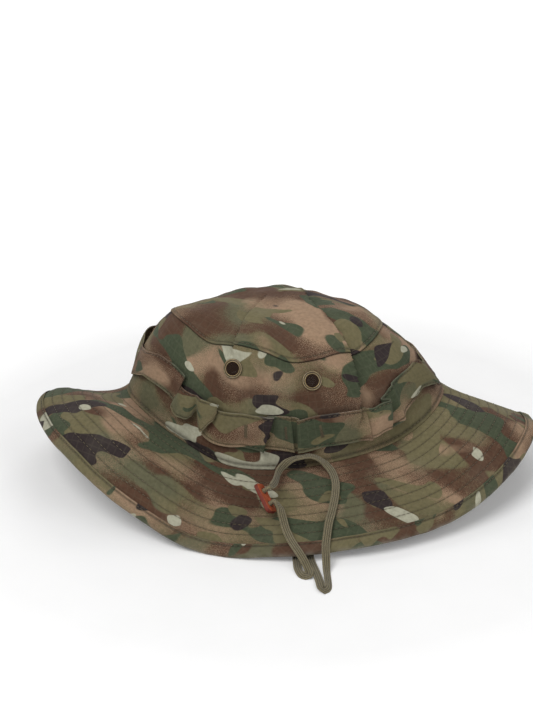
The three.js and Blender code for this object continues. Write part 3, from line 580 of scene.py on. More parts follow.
def smooth_route(points, step):
    """A centripetal curve through points, at about even steps."""
    points = np.asarray(points, dtype=float)
    ends = [2 * points[0] - points[1], 2 * points[-1] - points[-2]]
    p = np.vstack([ends[0], points, ends[1]])
    made = []
    for i in range(1, len(p) - 2):
        knots = [0.0]
        for a, b in zip(p[i - 1:i + 2], p[i:i + 3]):
            knots.append(knots[-1] + max(np.linalg.norm(b - a) ** 0.5, 1e-6))
        count = max(2, int(np.linalg.norm(p[i + 1] - p[i]) / step))
        t = np.linspace(knots[1], knots[2], count, endpoint=False)[:, None]
        level = [p[i - 1 + k] for k in range(4)]
        first = [((knots[k + 1] - t) * level[k] + (t - knots[k]) * level[k + 1])
                 / (knots[k + 1] - knots[k]) for k in range(3)]
        second = [((knots[k + 2] - t) * first[k] + (t - knots[k]) * first[k + 1])
                  / (knots[k + 2] - knots[k]) for k in range(2)]
        made.append(((knots[2] - t) * second[0] + (t - knots[1]) * second[1])
                    / (knots[2] - knots[1]))
    return np.vstack([*made, points[-1:]])


# Sewing thread

def stitch_form(length, thread):
    """One stitch: a short rounded run of thread along X."""
    deselect_all()
    bpy.ops.mesh.primitive_uv_sphere_add(segments=6, ring_count=4, radius=0.5)
    form = bpy.context.active_object
    form.data.transform(Matrix.Rotation(math.radians(90), 4, "Y"))
    form.data.transform(Matrix.Diagonal((length, thread, thread, 1)))
    points = np.array([v.co[:] for v in form.data.vertices])
    faces = [list(f.vertices) for f in form.data.polygons]
    bpy.data.objects.remove(form)
    return points, faces


def seam_places(points, normals, pitch):
    """Middle, direction and normal of each stitch along a line of points."""
    run = ring_lengths(points)
    count = max(1, int(run[-1] / pitch))
    at = (np.arange(count) + 0.5) * run[-1] / count

    def read(values):
        return np.stack([np.interp(at, run, values[:, k]) for k in range(3)], -1)
    middle, normal = read(points), unit(read(normals))
    ahead = np.stack([np.interp(at + pitch / 4, run, points[:, k]) for k in range(3)], -1)
    behind = np.stack([np.interp(at - pitch / 4, run, points[:, k]) for k in range(3)], -1)
    return middle, unit(ahead - behind), normal


def sew(name, rows, material, slot):
    """Copies the stitch along rows of (points, normals, lift)."""
    sewing = bpy.context.scene.sun_hat.sewing
    base, base_faces = stitch_form(sewing.stitch, sewing.thread)
    pitch = sewing.stitch + sewing.gap
    points, faces = [], []
    for line, normals, lift in rows:
        middle, along, normal = seam_places(line, normals, pitch)
        side = unit(np.cross(normal, along))
        square = np.cross(along, side)
        middle = middle + square * lift
        placed = (middle[:, None] + along[:, None] * base[None, :, :1]
                  + side[:, None] * base[None, :, 1:2] + square[:, None] * base[None, :, 2:])
        for stitch in placed:
            offset = len(points) * len(base)
            faces.extend([[corner + offset for corner in face] for face in base_faces])
            points.append(stitch)
    piece = new_piece(name, np.array(points), faces)
    dress(piece, "hat", slot, [material])
    return piece


# Node trees

class Graph:
    """Short calls that add nodes to one tree and join them."""

    def __init__(self, tree):
        self.tree = tree

    def node(self, kind, **settings):
        node = self.tree.nodes.new(kind)
        for key, value in settings.items():
            setattr(node, key, value)
        return node

    def put(self, socket, value):
        if isinstance(value, bpy.types.NodeSocket):
            self.tree.links.new(value, socket)
        elif value is not None:
            size = len(socket.default_value) if hasattr(socket.default_value, "__len__") else 0
            socket.default_value = tuple(value)[:size] if size else value

    def math(self, operation, first, second=None, third=None):
        node = self.node("ShaderNodeMath", operation=operation)
        for socket, value in zip(node.inputs, (first, second, third)):
            self.put(socket, value)
        return node.outputs[0]

    def vector_math(self, operation, first, scale=None):
        node = self.node("ShaderNodeVectorMath", operation=operation)
        self.put(node.inputs[0], first)
        self.put(node.inputs["Scale"], scale)
        return node.outputs[0]

    def mix(self, factor, first, second):
        node = self.node("ShaderNodeMix", data_type="RGBA")
        self.put(node.inputs[0], factor)
        self.put(node.inputs[6], first)
        self.put(node.inputs[7], second)
        return node.outputs[2]

    def ramp(self, value, low, high, to_low=0.0, to_high=1.0):
        node = self.node("ShaderNodeMapRange", clamp=True)
        for socket, number in zip(node.inputs, (value, low, high, to_low, to_high)):
            self.put(socket, number)
        return node.outputs[0]

    def noise(self, vector, scale, detail=2.0, roughness=0.5, distortion=0.0):
        node = self.node("ShaderNodeTexNoise", noise_dimensions="3D")
        self.put(node.inputs["Vector"], vector)
        self.put(node.inputs["Scale"], scale)
        self.put(node.inputs["Detail"], detail)
        self.put(node.inputs["Roughness"], roughness)
        self.put(node.inputs["Distortion"], distortion)
        return node.outputs["Fac"]

    def place(self, vector, location=(0, 0, 0), turn=0.0, scale=(1, 1, 1)):
        node = self.node("ShaderNodeMapping")
        self.put(node.inputs["Vector"], vector)
        node.inputs["Location"].default_value = location
        node.inputs["Rotation"].default_value = (0, 0, math.radians(turn))
        node.inputs["Scale"].default_value = scale
        return node.outputs[0]

    def attribute(self, name, output):
        return self.node("ShaderNodeAttribute", attribute_name=name).outputs[output]

    def group(self, tree, **values):
        node = self.node("ShaderNodeGroup", node_tree=tree)
        for key, value in values.items():
            self.put(node.inputs[key.replace("_", " ")], value)
        return node.outputs


def new_group(name, inputs, outputs):
    """An empty node group with named sockets: (name, kind, default)."""
    tree = bpy.data.node_groups.new(name, "ShaderNodeTree")
    for label, kind, default in inputs:
        socket = tree.interface.new_socket(label, in_out="INPUT", socket_type=kind)
        if default is not None:
            socket.default_value = default
    for label, kind in outputs:
        tree.interface.new_socket(label, in_out="OUTPUT", socket_type=kind)
    graph = Graph(tree)
    source = graph.node("NodeGroupInput").outputs
    target = graph.node("NodeGroupOutput").inputs
    return tree, graph, source, target


FLOAT = "NodeSocketFloat"
VECTOR = "NodeSocketVector"
COLOUR = "NodeSocketColor"


def print_group():
    """A printed camouflage: soft blotches with speckled edges, and short strokes over them."""
    tree, graph, source, target = new_group(
        "blotch_print",
        [("Cloth", VECTOR, None), ("Size", FLOAT, 0.03), ("Speckle", FLOAT, 0.1)]
        + [(name, COLOUR, None) for name in
           ("Khaki", "Sage", "Brown", "Green", "Tan", "Pale", "Dark")],
        [("Color", COLOUR)])
    print_place = graph.vector_math("SCALE", source["Cloth"],
                                    scale=graph.math("DIVIDE", 1.0, source["Size"]))
    speck = graph.noise(source["Cloth"], 2300.0, detail=1.0)
    speck = graph.math("SUBTRACT", speck, 0.5)
    mottle = graph.ramp(graph.noise(print_place, 0.9), 0.42, 0.58, 0.0, 1.0)
    broken = graph.math("MULTIPLY", graph.math("MULTIPLY", speck, source["Speckle"]), mottle)
    colour = source["Khaki"]
    # name, shift of the print, turn, stretch, threshold, speckle, edge softness
    layers = [
        ("Sage", (3.1, 7.7, 0), 12, (0.5, 0.8, 1), 0.53, 1.8, 0.03),
        ("Brown", (11.3, 2.9, 0), -8, (0.5, 0.9, 1), 0.475, 1.1, 0.008),
        ("Tan", (23.7, 9.3, 0), -15, (0.5, 0.9, 1), 0.585, 2.2, 0.03),
        ("Green", (5.9, 17.1, 0), 20, (0.6, 1.25, 1), 0.575, 0.06, 0.004),
        ("Khaki", (31.1, 4.4, 0), 35, (0.8, 1.4, 1), 0.62, 0.06, 0.004),
        ("Dark", (41.9, 27.3, 0), -6, (0.6, 1.3, 1), 0.64, 0.0, 0.003),
        ("Pale", (15.2, 37.7, 0), 62, (0.7, 1.6, 1), 0.68, 0.0, 0.003),
    ]
    for name, location, turn, scale, threshold, speckle, edge in layers:
        place = graph.place(print_place, location, turn, scale)
        field = graph.noise(place, 1.0, detail=1.4, roughness=0.4, distortion=0.3)
        if speckle:
            field = graph.math("MULTIPLY_ADD", broken, speckle, field)
        mask = graph.ramp(field, threshold - edge, threshold + edge)
        colour = graph.mix(mask, colour, source[name])
    graph.put(target["Color"], colour)
    return tree


def weave_group():
    """Ripstop cloth: fine plain weave with a thicker thread every few millimetres each way."""
    tree, graph, source, target = new_group(
        "ripstop_weave",
        [("Cloth", VECTOR, None), ("Grid", FLOAT, 0.005), ("Thread", FLOAT, 0.0006)],
        [("Height", FLOAT), ("Grid Mask", FLOAT)])
    parts = graph.node("ShaderNodeSeparateXYZ")
    graph.put(parts.inputs[0], source["Cloth"])
    turn = graph.math("DIVIDE", 2 * math.pi, source["Thread"])
    over = graph.math("SINE", graph.math("MULTIPLY", parts.outputs[0], turn))
    under = graph.math("SINE", graph.math("MULTIPLY", parts.outputs[1], turn))
    weave = graph.math("MULTIPLY", over, under)
    half = graph.math("MULTIPLY", source["Grid"], 0.5)
    lines = [graph.math("PINGPONG", parts.outputs[k], half) for k in (0, 1)]
    near = graph.math("MINIMUM", *lines)
    mask = graph.ramp(near, graph.math("MULTIPLY", source["Thread"], 0.35),
                      graph.math("MULTIPLY", source["Thread"], 0.75), 1.0, 0.0)
    slub = graph.noise(source["Cloth"], 900.0, detail=2.0)
    height = graph.math("MULTIPLY_ADD", weave, 0.22, graph.math("MULTIPLY", mask, 0.3))
    height = graph.math("ADD", height, graph.math("MULTIPLY", slub, 0.5))
    graph.put(target["Height"], height)
    graph.put(target["Grid Mask"], mask)
    return tree


def fade_group():
    """Use marks: a slow change of tone, dust in patches and a pale rub along worn edges."""
    tree, graph, source, target = new_group(
        "use_marks",
        [("Color", COLOUR, None), ("Place", VECTOR, None), ("Wear", FLOAT, 0.0),
         ("Amount", FLOAT, 1.0)],
        [("Color", COLOUR), ("Dust", FLOAT)])
    slow = graph.noise(source["Place"], 14.0, detail=2.0)
    fine = graph.noise(source["Place"], 420.0, detail=2.0)
    tone = graph.ramp(slow, 0.3, 0.7, 0.9, 1.1)
    tone = graph.math("MULTIPLY", tone, graph.ramp(fine, 0.25, 0.75, 0.84, 1.16))
    toned = graph.vector_math("SCALE", source["Color"], scale=tone)
    dust = graph.ramp(graph.noise(source["Place"], 46.0, detail=4.0), 0.5, 0.75, 0.0, 0.08)
    dust = graph.math("MULTIPLY", dust, source["Amount"])
    colour = graph.mix(dust, toned, (0.3, 0.27, 0.21, 1))
    rub = graph.math("MULTIPLY", source["Wear"],
                     graph.ramp(graph.noise(source["Place"], 160.0), 0.35, 0.7, 0.1, 0.6))
    colour = graph.mix(rub, colour, (0.36, 0.33, 0.26, 1))
    graph.put(target["Color"], colour)
    graph.put(target["Dust"], dust)
    return tree


def shared_group(name, build):
    return bpy.data.node_groups.get(name) or build()


def new_material(name, roughness=0.9, sheen=0.0, specular=0.5):
    """A material with a plain Principled surface, ready for its colour and bump."""
    material = bpy.data.materials.new(name)
    material.use_nodes = True
    surface = material.node_tree.nodes["Principled BSDF"]
    surface.inputs["Roughness"].default_value = roughness
    surface.inputs["Sheen Weight"].default_value = sheen
    surface.inputs["Specular IOR Level"].default_value = specular
    return material, Graph(material.node_tree), surface.inputs


def bump(graph, surface, height, distance, strength=1.0):
    node = graph.node("ShaderNodeBump")
    node.inputs["Strength"].default_value = strength
    node.inputs["Distance"].default_value = distance
    graph.put(node.inputs["Height"], height)
    graph.put(surface["Normal"], node.outputs[0])


def printed_cloth(name, shift=(0, 0, 0), turn=0.0, fade=0.0):
    """Ripstop cloth with the camouflage print, cut from its own place on the roll."""
    made = bpy.data.materials.get(name)
    if made:
        return made
    look = bpy.context.scene.sun_hat.cloth
    material, graph, surface = new_material(name, roughness=0.92, sheen=0.03, specular=0.15)
    flat = graph.attribute("flat", "Vector")
    cut = graph.place(flat, shift, turn)
    colours = {"Khaki": look.khaki, "Sage": look.sage, "Brown": look.brown, "Green": look.green,
               "Tan": look.tan, "Pale": look.pale, "Dark": look.dark}
    printed = graph.group(shared_group("blotch_print", print_group), Cloth=cut,
                          Size=look.blotch, Speckle=look.speckle, **colours)["Color"]
    if fade:
        printed = graph.mix(fade, printed, look.reverse)
    weave = graph.group(shared_group("ripstop_weave", weave_group), Cloth=cut, Grid=look.grid)
    printed = graph.mix(graph.math("MULTIPLY", weave["Grid Mask"], 0.08), printed,
                        look.reverse)
    # Painted shade: the cloth is darkened along stitches, seams and tucks, where the seam mark is
    # set
    sunk = graph.ramp(graph.attribute("seam", "Fac"), 0.0, 1.0, 1.0, 0.42)
    printed = graph.vector_math("SCALE", printed, scale=sunk)
    worn = graph.group(shared_group("use_marks", fade_group), Color=printed, Place=flat,
                       Wear=graph.attribute("wear", "Fac"))
    graph.put(surface["Base Color"], worn["Color"])
    graph.put(surface["Roughness"], graph.math("MULTIPLY_ADD", worn["Dust"], 0.3, 0.84))
    bump(graph, surface, weave["Height"], 0.00012, 0.6)
    return material


def plain_cloth(name, colour, thread=0.0007):
    """Plain woven tape or interlining."""
    made = bpy.data.materials.get(name)
    if made:
        return made
    material, graph, surface = new_material(name, roughness=0.92, sheen=0.1, specular=0.2)
    flat = graph.attribute("flat", "Vector")
    weave = graph.group(shared_group("ripstop_weave", weave_group), Cloth=flat, Thread=thread,
                        Grid=1.0)
    worn = graph.group(shared_group("use_marks", fade_group), Color=colour, Place=flat,
                       Wear=graph.attribute("wear", "Fac"))
    graph.put(surface["Base Color"], worn["Color"])
    bump(graph, surface, weave["Height"], 0.00015, 0.8)
    return material


def thread_material(name, colour):
    """Spun sewing thread, its plies winding round it."""
    made = bpy.data.materials.get(name)
    if made:
        return made
    material, graph, surface = new_material(name, roughness=0.7, sheen=0.15, specular=0.3)
    place = graph.node("ShaderNodeTexCoord").outputs["Object"]
    slow = graph.ramp(graph.noise(place, 60.0), 0.3, 0.7, 0.75, 1.2)
    graph.put(surface["Base Color"], graph.vector_math("SCALE", colour, scale=slow))
    bump(graph, surface, graph.noise(place, 5200.0, detail=1.0), 0.00008)
    return material


# Pieces

BRIM_COLUMNS = 480


def sewn_groove(distance, rows, width=0.0011):
    """How deep the cloth is pulled in by rows of stitches, 0 to 1."""
    return sum(np.exp(-(((distance - row) / width) ** 2)) for row in rows)


def brim_rows():
    return [BRIM_ROW_FIRST + BRIM_ROW_PITCH * i for i in range(BRIM_ROWS)]


def brim_reaches(end):
    """Distances from the seam at which the brim's cloth has points: close beside its stitches."""
    offsets = (-0.0024, -0.0013, -0.0006, 0, 0.0006, 0.0013, 0.0024)
    reaches = [-SEAM_TUCK, 0, 0.001, *[row + d for row in brim_rows() for d in offsets]]
    reaches += list(np.linspace(brim_rows()[-1] + 0.004, end, 6))
    return np.array(sorted(r for r in reaches if r <= end))


def brim_flat(bearing, reach):
    """Where a point of the brim lay on the flat cloth."""
    bearing, reach = np.broadcast_arrays(bearing, reach)
    flat = seam_point(bearing) + outward(bearing) * reach[..., None]
    flat[..., 2] = 0
    return flat


def brim_lift(bearing, reach, base, side):
    """Height of a brim face: sunk along the stitches and puckered between them."""
    flat = brim_flat(bearing, reach)
    sunk = sewn_groove(reach, brim_rows(), 0.0007) * BRIM_GROOVE
    pucker = ripple(flat, 0.009, 5) * 0.00004 + ripple(flat, 0.03, 6) * 0.0001
    between = np.clip(1 - sewn_groove(reach, brim_rows()), 0, 1)
    return side * (base - sunk + between * np.clip(pucker, -0.0001, 0.0002))


def brim_ply(name, side, materials, node, slot, thickness=OUTER_PLY, base=STACK_HALF):
    bearing = np.linspace(-180, 180, BRIM_COLUMNS, endpoint=False)[None, :]
    reach = brim_reaches(BRIM_WIDTH - BINDING_CLOTH - 2 * SEAT)[:, None]
    lift = brim_lift(bearing, reach, base, side)
    points = brim_layer(bearing, reach, lift) + CLOTH_SHIFT
    faces = grid_faces(*points.shape[:2], True, flip=side > 0)
    # Painted shade along the rows of stitches, darkened in the cloth's material
    seam = np.broadcast_to(0.6 * sewn_groove(reach, brim_rows(), 0.0005), points.shape[:2])
    piece = new_piece(name, points, faces, flat=brim_flat(bearing, reach), seam=seam)
    dress(piece, "hat", slot, materials, node)
    thicken(piece, thickness)
    return piece


def crown_reverse():
    return printed_cloth("crown_cloth_reverse", (0.4, 0.9, 0), 0, 0.55)


class HAT_OT_brim_cloth(bpy.types.Operator):
    """Make the brim: two printed plies over an interlining, drawn in along eight rows of sewing"""
    bl_idname = "hat.brim_cloth"
    bl_label = "Brim cloth"

    def execute(self, context):
        look = context.scene.sun_hat.cloth
        top = brim_ply("brim_top_cloth", 1, [printed_cloth("brim_print", (0.13, 0.31, 0), 24)],
                       "brim_top_ply", "camouflage_cloth")
        under = brim_ply("brim_under_cloth", -1,
                         [printed_cloth("brim_under_print", (1.7, 0.6, 0), -40)],
                         "brim_under_ply", "camouflage_cloth")
        inner = brim_ply("brim_interlining_cloth", 1, [plain_cloth("interlining", look.lining)],
                         "brim_stiffener", "brim_interlining", STIFFENER * STIFFENER_SHARE,
                         STIFFENER / 2 + 0.00012)
        return {"FINISHED"}


class HAT_OT_brim_binding(bpy.types.Operator):
    """Fold the bias binding round the brim's edge"""
    bl_idname = "hat.brim_binding"
    bl_label = "Brim binding"

    def execute(self, context):
        outer = STACK_HALF + SEAT + BINDING_CLOTH
        start = BRIM_WIDTH - BINDING_WIDTH
        turn = np.linspace(90, -90, 13)
        middle = BRIM_WIDTH - outer
        top = [(start, outer - 0.0004), (start + 0.0003, outer - 0.00012), (start + 0.0008, outer),
               (start + 0.0012, outer - 0.00014),
               (start + BINDING_ROW_INSET, outer - BINDING_GROOVE),
               (start + 0.0021, outer - 0.00014), (start + 0.0028, outer),
               (start + 0.0042, outer + 0.00008), (middle - 0.0008, outer)]
        edge = [(middle + outer * math.cos(a), outer * math.sin(a)) for a in np.radians(turn)]
        section = np.array(top + edge + [(r, -l) for r, l in reversed(top)])
        bearing = np.linspace(-180, 180, BRIM_COLUMNS * 2 + 1)[None, :]
        bearing = bearing * (1 - BINDING_ENDS)
        reach, lift = section[:, :1], section[:, 1:]
        flat = brim_flat(bearing, reach)
        sag = ripple(flat, 0.012, 8) * 0.00013 + ripple(flat, 0.05, 9) * 0.0002
        side = np.sign(lift)
        near_row = np.exp(-(((reach - start - BINDING_ROW_INSET) / 0.003) ** 2))
        pull = ripple(flat + side[..., None] * 0.3, 0.0065, 10) * 0.0001 * near_row
        points = brim_layer(bearing, reach + sag, lift + side * pull) + CLOTH_SHIFT
        points[..., 2] = np.maximum(points[..., 2], FLOOR_CLEARANCE)
        around = ring_lengths(points[len(section) // 2])
        across = ring_lengths(np.c_[section, 0 * section[:, 0]])
        cloth = np.zeros_like(points)
        cloth[..., 0] = around[None, :]
        cloth[..., 1] = across[:, None]
        wear = np.exp(-((lift / outer) ** 2) * 2) * (0.35 + 0.65 * (reach > middle))
        wear = np.broadcast_to(wear, points.shape[:2])
        # Painted shade along the row of stitches and at the binding's inner edge
        sewn = np.exp(-(((reach - start - BINDING_ROW_INSET) / 0.0006) ** 2))
        sewn = np.broadcast_to(np.maximum(sewn, reach < start + 0.0001), points.shape[:2])
        faces = grid_faces(*points.shape[:2], False, flip=True)
        piece = new_piece("brim_edge_binding", points, faces, flat=cloth, wear=wear, seam=sewn)
        dress(piece, "hat", "binding_cloth",
              [printed_cloth("binding_print", (0.7, 1.3, 0), 45)], "brim_binding")
        thicken(piece, BINDING_CLOTH * BINDING_SHARE)
        return {"FINISHED"}


def vent_frames():
    """Each vent's place, from its solid: Z out of the crown side, at the cloth's outer face."""
    frames = []
    for name in sorted(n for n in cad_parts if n.startswith("vent_eyelet")):
        points = np.array([v.co[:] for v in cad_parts[name].data.vertices])
        middle = (points.min(0) + points.max(0)) / 2
        _, _, axes = np.linalg.svd(points - points.mean(0))
        out = axes[2] * np.sign(axes[2] @ (middle - np.array([0, 0, SEAM_RISE])))
        heights = (points - middle) @ out
        across = unit(np.cross((0, 0, 1), out))
        rise = np.cross(out, across)
        ring = points - np.outer(heights, out)
        centre = (ring.max(0) + ring.min(0)) / 2 + out * (heights.max() - VENT_CREST)
        frames.append(Matrix((
            (across[0], rise[0], out[0], centre[0]), (across[1], rise[1], out[1], centre[1]),
            (across[2], rise[2], out[2], centre[2]), (0, 0, 0, 1))))
    return frames


def press_vents(points):
    """Presses the cloth flat under each vent. Also gives the distance to the nearest vent."""
    nearest = np.full(points.shape[:-1], np.inf)
    for vent in vent_frames():
        turn = np.array(vent)[:3, :3]
        local = (points - np.array(vent)[:3, 3]) @ turn
        radius = np.hypot(local[..., 0], local[..., 1])
        here = np.where(np.abs(local[..., 2]) < VENT_REACH, radius, np.inf)
        hold = 1 - ease((here - VENT_LEVEL_RADIUS) / VENT_LEVEL_FADE)
        ring = np.exp(-(((here - VENT_DIMPLE_RADIUS) / VENT_DIMPLE_WIDTH) ** 2))
        dimple = -VENT_DIMPLE * ring
        level = local[..., 2] * (1 - hold) + SEAT * hold + np.where(hold > 0, dimple, 0)
        points = points + (level - local[..., 2])[..., None] * turn[:, 2]
        nearest = np.minimum(nearest, here)
    return points, nearest


def crown_side(name, start, end, node, shift):
    """One half of the crown side, curled in along its seams and flat round its vents."""
    bearing = np.linspace(start, end, 241)[None, :]
    edge = SEAT / HEAD_LENGTH * 360 / math.pi
    bearing = np.clip(bearing, start + edge, end - edge)
    share = np.r_[0, 0.012, 0.022, 0.032, 0.042, 0.055, np.linspace(0.08, 0.93, 38),
                  0.95, 0.965, 0.977, 0.986, 0.994, 1][:, None]
    length = side_length(bearing)
    height = share * length
    around = ring_lengths(seam_point(bearing)[0])[None, :]
    points = side_point(bearing, share)
    out = outward(bearing)
    crumple = ripple(points, 0.042, 21) * 0.0008 + ripple(points, 0.017, 22) * 0.00036
    crumple = crumple + ripple(points * (1, 1, 0.3), 0.0075, 23) * 0.00014 * ease(1 - share * 3)
    calm = ease(share * 9) * ease((1 - share) * 14)
    groove = sewn_groove(height, [SIDE_ROW_RISE], 0.0012) * SIDE_GROOVE
    seam_gap = np.minimum(around, around[0, -1] - around)
    seam_groove = np.exp(-((seam_gap / END_SEAM_WIDTH) ** 2)) * END_SEAM_PULL
    beyond = (seam_gap - END_SEAM_PUFF_AT) / END_SEAM_PUFF_WIDTH
    seam_groove = seam_groove - np.exp(-(beyond ** 2)) * END_SEAM_PUFF
    tuck = ease((share - SIDE_TUCK_FROM) / SIDE_TUCK_SPAN) * SIDE_TUCK
    inward = crumple * calm - groove - seam_groove - tuck
    points = points + out * inward[..., None] + CLOTH_SHIFT
    points[..., 2] += ease((share - SIDE_LIFT_FROM) / SIDE_LIFT_SPAN) * SIDE_LIFT
    points, gap = press_vents(points)
    flat = np.zeros_like(points)
    flat[..., 0] = around
    flat[..., 1] = height
    faces = grid_faces(*points.shape[:2], False)
    open_to_vent = gap.reshape(-1)[faces].max(axis=1) < VENT_CLOTH_HOLE
    # Painted shade along the low row of stitches and beside the end seams
    sewn = np.maximum(groove / SIDE_GROOVE, np.exp(-((seam_gap / 0.0008) ** 2)))
    piece = new_piece(name, points, faces[~open_to_vent], flat=flat, seam=sewn)
    remove_loose(piece)
    dress(piece, "hat", "camouflage_cloth",
          [printed_cloth("crown_side_print", shift, 4), crown_reverse()], node)
    thicken(piece, SIDE_CLOTH * SIDE_SHARE)
    return piece


def remove_loose(piece):
    """Deletes points that no face uses."""
    make_active(piece)
    bpy.ops.object.mode_set(mode="EDIT")
    bpy.ops.mesh.select_all(action="SELECT")
    bpy.ops.mesh.delete_loose()
    bpy.ops.object.mode_set(mode="OBJECT")


class HAT_OT_crown_cloth(bpy.types.Operator):
    """Make the crown: an oval top panel and two side panels, creased as the hat was laid down"""
    bl_idname = "hat.crown_cloth"
    bl_label = "Crown cloth"

    def execute(self, context):
        crown_side("crown_side_left_cloth", -180, 0, "crown_side_panel_left", (2.15, 0.42, 0))
        crown_side("crown_side_right_cloth", 0, 180, "crown_side_panel_right", (3.4, 1.2, 0))
        self.make_top()
        return {"FINISHED"}

    def make_top(self):
        columns = 480
        bearing = np.linspace(-180, 180, columns, endpoint=False)[None, :]
        share = np.r_[np.linspace(0.025, 0.9, 36), 0.92, 0.935, 0.948, 0.958, 0.968, 0.98, 0.99,
                      0.997][:, None]
        points = top_point(bearing, share)
        reach = (1 - share) * np.linalg.norm(top_seam_point(bearing)[..., :2]
                                             - (TOP_SHIFT, 0), axis=-1)
        crumple = ripple(points, 0.034, 31) * 0.0008 + ripple(points, 0.014, 32) * 0.0003
        crumple = crumple * ease((1 - share) * 7)
        ridge = TOP_RIDGE * ease(1 - np.abs(reach - TOP_RIDGE_AT) / TOP_RIDGE_WIDTH)
        groove = TOP_GROOVE * sewn_groove(reach, [TOP_ROW_INSET], 0.0008)
        allowance = ALLOWANCE * (1 - ease((reach - ALLOWANCE_END) / ALLOWANCE_FADE))
        allowance = allowance * ease(reach / ALLOWANCE_START)
        points[..., 2] += crumple + ridge - groove + allowance
        out = outward(bearing)[0]
        rim = top_point(bearing, 1.0)[0]
        tucked = [(0.0, -0.0002), (-0.0001, -0.0005), (-0.0004, -0.0008), (-0.0014, -0.0009)]
        rim_rows = [rim + out * o + np.array([0, 0, z]) for o, z in tucked]
        points = np.vstack([points, np.stack(rim_rows)])
        reach = np.vstack([reach, *[reach[-1:] * 0 - 0.0004 * (i + 1) for i in range(4)]])
        flat = points * (1, 1, 0) - out * np.clip(reach, None, 0)[..., None]
        centre = top_point(0.0, 0.0)
        grid = points.reshape(-1, 3)
        middle = len(grid)
        faces = grid_faces(*points.shape[:2], True, flip=True).tolist()
        faces += [[middle, i, (i + 1) % columns] for i in range(columns)]
        flat = np.vstack([flat.reshape(-1, 3), centre * (1, 1, 0)])
        # Painted shade along the row of stitches and in the rim tucked under the seam
        sewn = np.maximum(0.8 * sewn_groove(reach, [TOP_ROW_INSET], 0.0005), reach < 0)
        piece = new_piece("crown_top_cloth", np.vstack([grid, centre]) + CLOTH_SHIFT, faces,
                          flat=flat, seam=np.r_[sewn.reshape(-1), 0])
        dress(piece, "hat", "camouflage_cloth",
              [printed_cloth("crown_top_print", (4.62, 2.33, 0), 31), crown_reverse()],
              "crown_top_panel")
        thicken(piece, TOP_CLOTH * TOP_SHARE)


class HAT_OT_sweatband(bpy.types.Operator):
    """Sew the sweatband tape inside the crown"""
    bl_idname = "hat.sweatband"
    bl_label = "Sweatband"

    def execute(self, context):
        bearing = np.linspace(-180, 180, 360, endpoint=False)[None, :]
        rise = np.linspace(0, 1, 16)[:, None]
        share = rise * SWEATBAND_HEIGHT / side_length(bearing)
        points = side_point(bearing, share)
        waver = ripple(points, 0.03, 41) * 0.0004 * ease(rise * 3)
        ribs = sewn_groove(rise * SWEATBAND_HEIGHT, SWEATBAND_RIBS, SWEATBAND_RIB_WIDTH)
        ribs = ribs * SWEATBAND_RIB_DEPTH
        points = points - outward(bearing) * (SWEATBAND_INSET + waver * 0.5 + ribs)[..., None]
        points[..., 2] -= SWEATBAND_DROP * (1 - ease(rise * 3))
        points = points + CLOTH_SHIFT
        around = ring_lengths(points[0])
        flat = np.zeros_like(points)
        flat[..., 0] = around[None, :]
        flat[..., 1] = rise * SWEATBAND_HEIGHT
        look = context.scene.sun_hat.cloth
        piece = new_piece("sweatband_tape", points, grid_faces(*points.shape[:2], True), flat=flat)
        dress(piece, "hat", "sweatband_cloth", [plain_cloth("sweatband", look.lining)],
              "sweatband")
        thicken(piece, SWEATBAND_CLOTH)
        return {"FINISHED"}


def band_surface(up):
    """The foliage band's outer face, at shares of its height, with its lengthwise distances."""
    rows = np.array(BAND_ROWS, dtype=float)
    rows[:, 1:5] *= THOUSANDTH
    degree = HEAD_LENGTH / 2 * math.pi / 180
    scale = np.array([degree, 1, 1, 1, 1, degree])
    fine = smooth_band(rows * scale, BAND_STEPS) / scale
    low_out, high_out, low_up, high_up, lean = [fine[:, k][None, :] for k in (1, 2, 3, 4, 5)]
    bearing = fine[:, 0][None, :] + lean * (1 - up)
    length = side_length(bearing)
    height = BAND_RISE + low_up * (1 - up) + high_up * up + BAND_HEIGHT * up
    stand = low_out * (1 - up) + high_out * up
    bulge = 0.12 * stand * 4 * up * (1 - up)
    points = side_point(bearing, height / length)
    points = points + outward(bearing) * (SEAT + BAND_CLOTH + stand + bulge)[..., None]
    return points, bearing


def smooth_band(rows, steps):
    """A smooth line through the band's rows."""
    padded = np.vstack([2 * rows[0] - rows[1], rows, 2 * rows[-1] - rows[-2]])
    t = np.linspace(0, 1, steps, endpoint=False)[:, None]
    made = []
    for i in range(1, len(padded) - 2):
        a, b, c, d = padded[i - 1:i + 3]
        made.append(0.5 * (2 * b + (c - a) * t + (2 * a - 5 * b + 4 * c - d) * t**2
                           + (3 * b - a - 3 * c + d) * t**3))
    return np.vstack([*made, rows[-1:]])


BAND_STEPS = 12
BAND_UPS = (0, 0.02, 0.05, 0.065, 0.079, 0.093, 0.12, 0.2, 0.32, 0.44, 0.56, 0.68, 0.8, 0.88,
            0.907, 0.921, 0.935, 0.95, 0.98, 1)


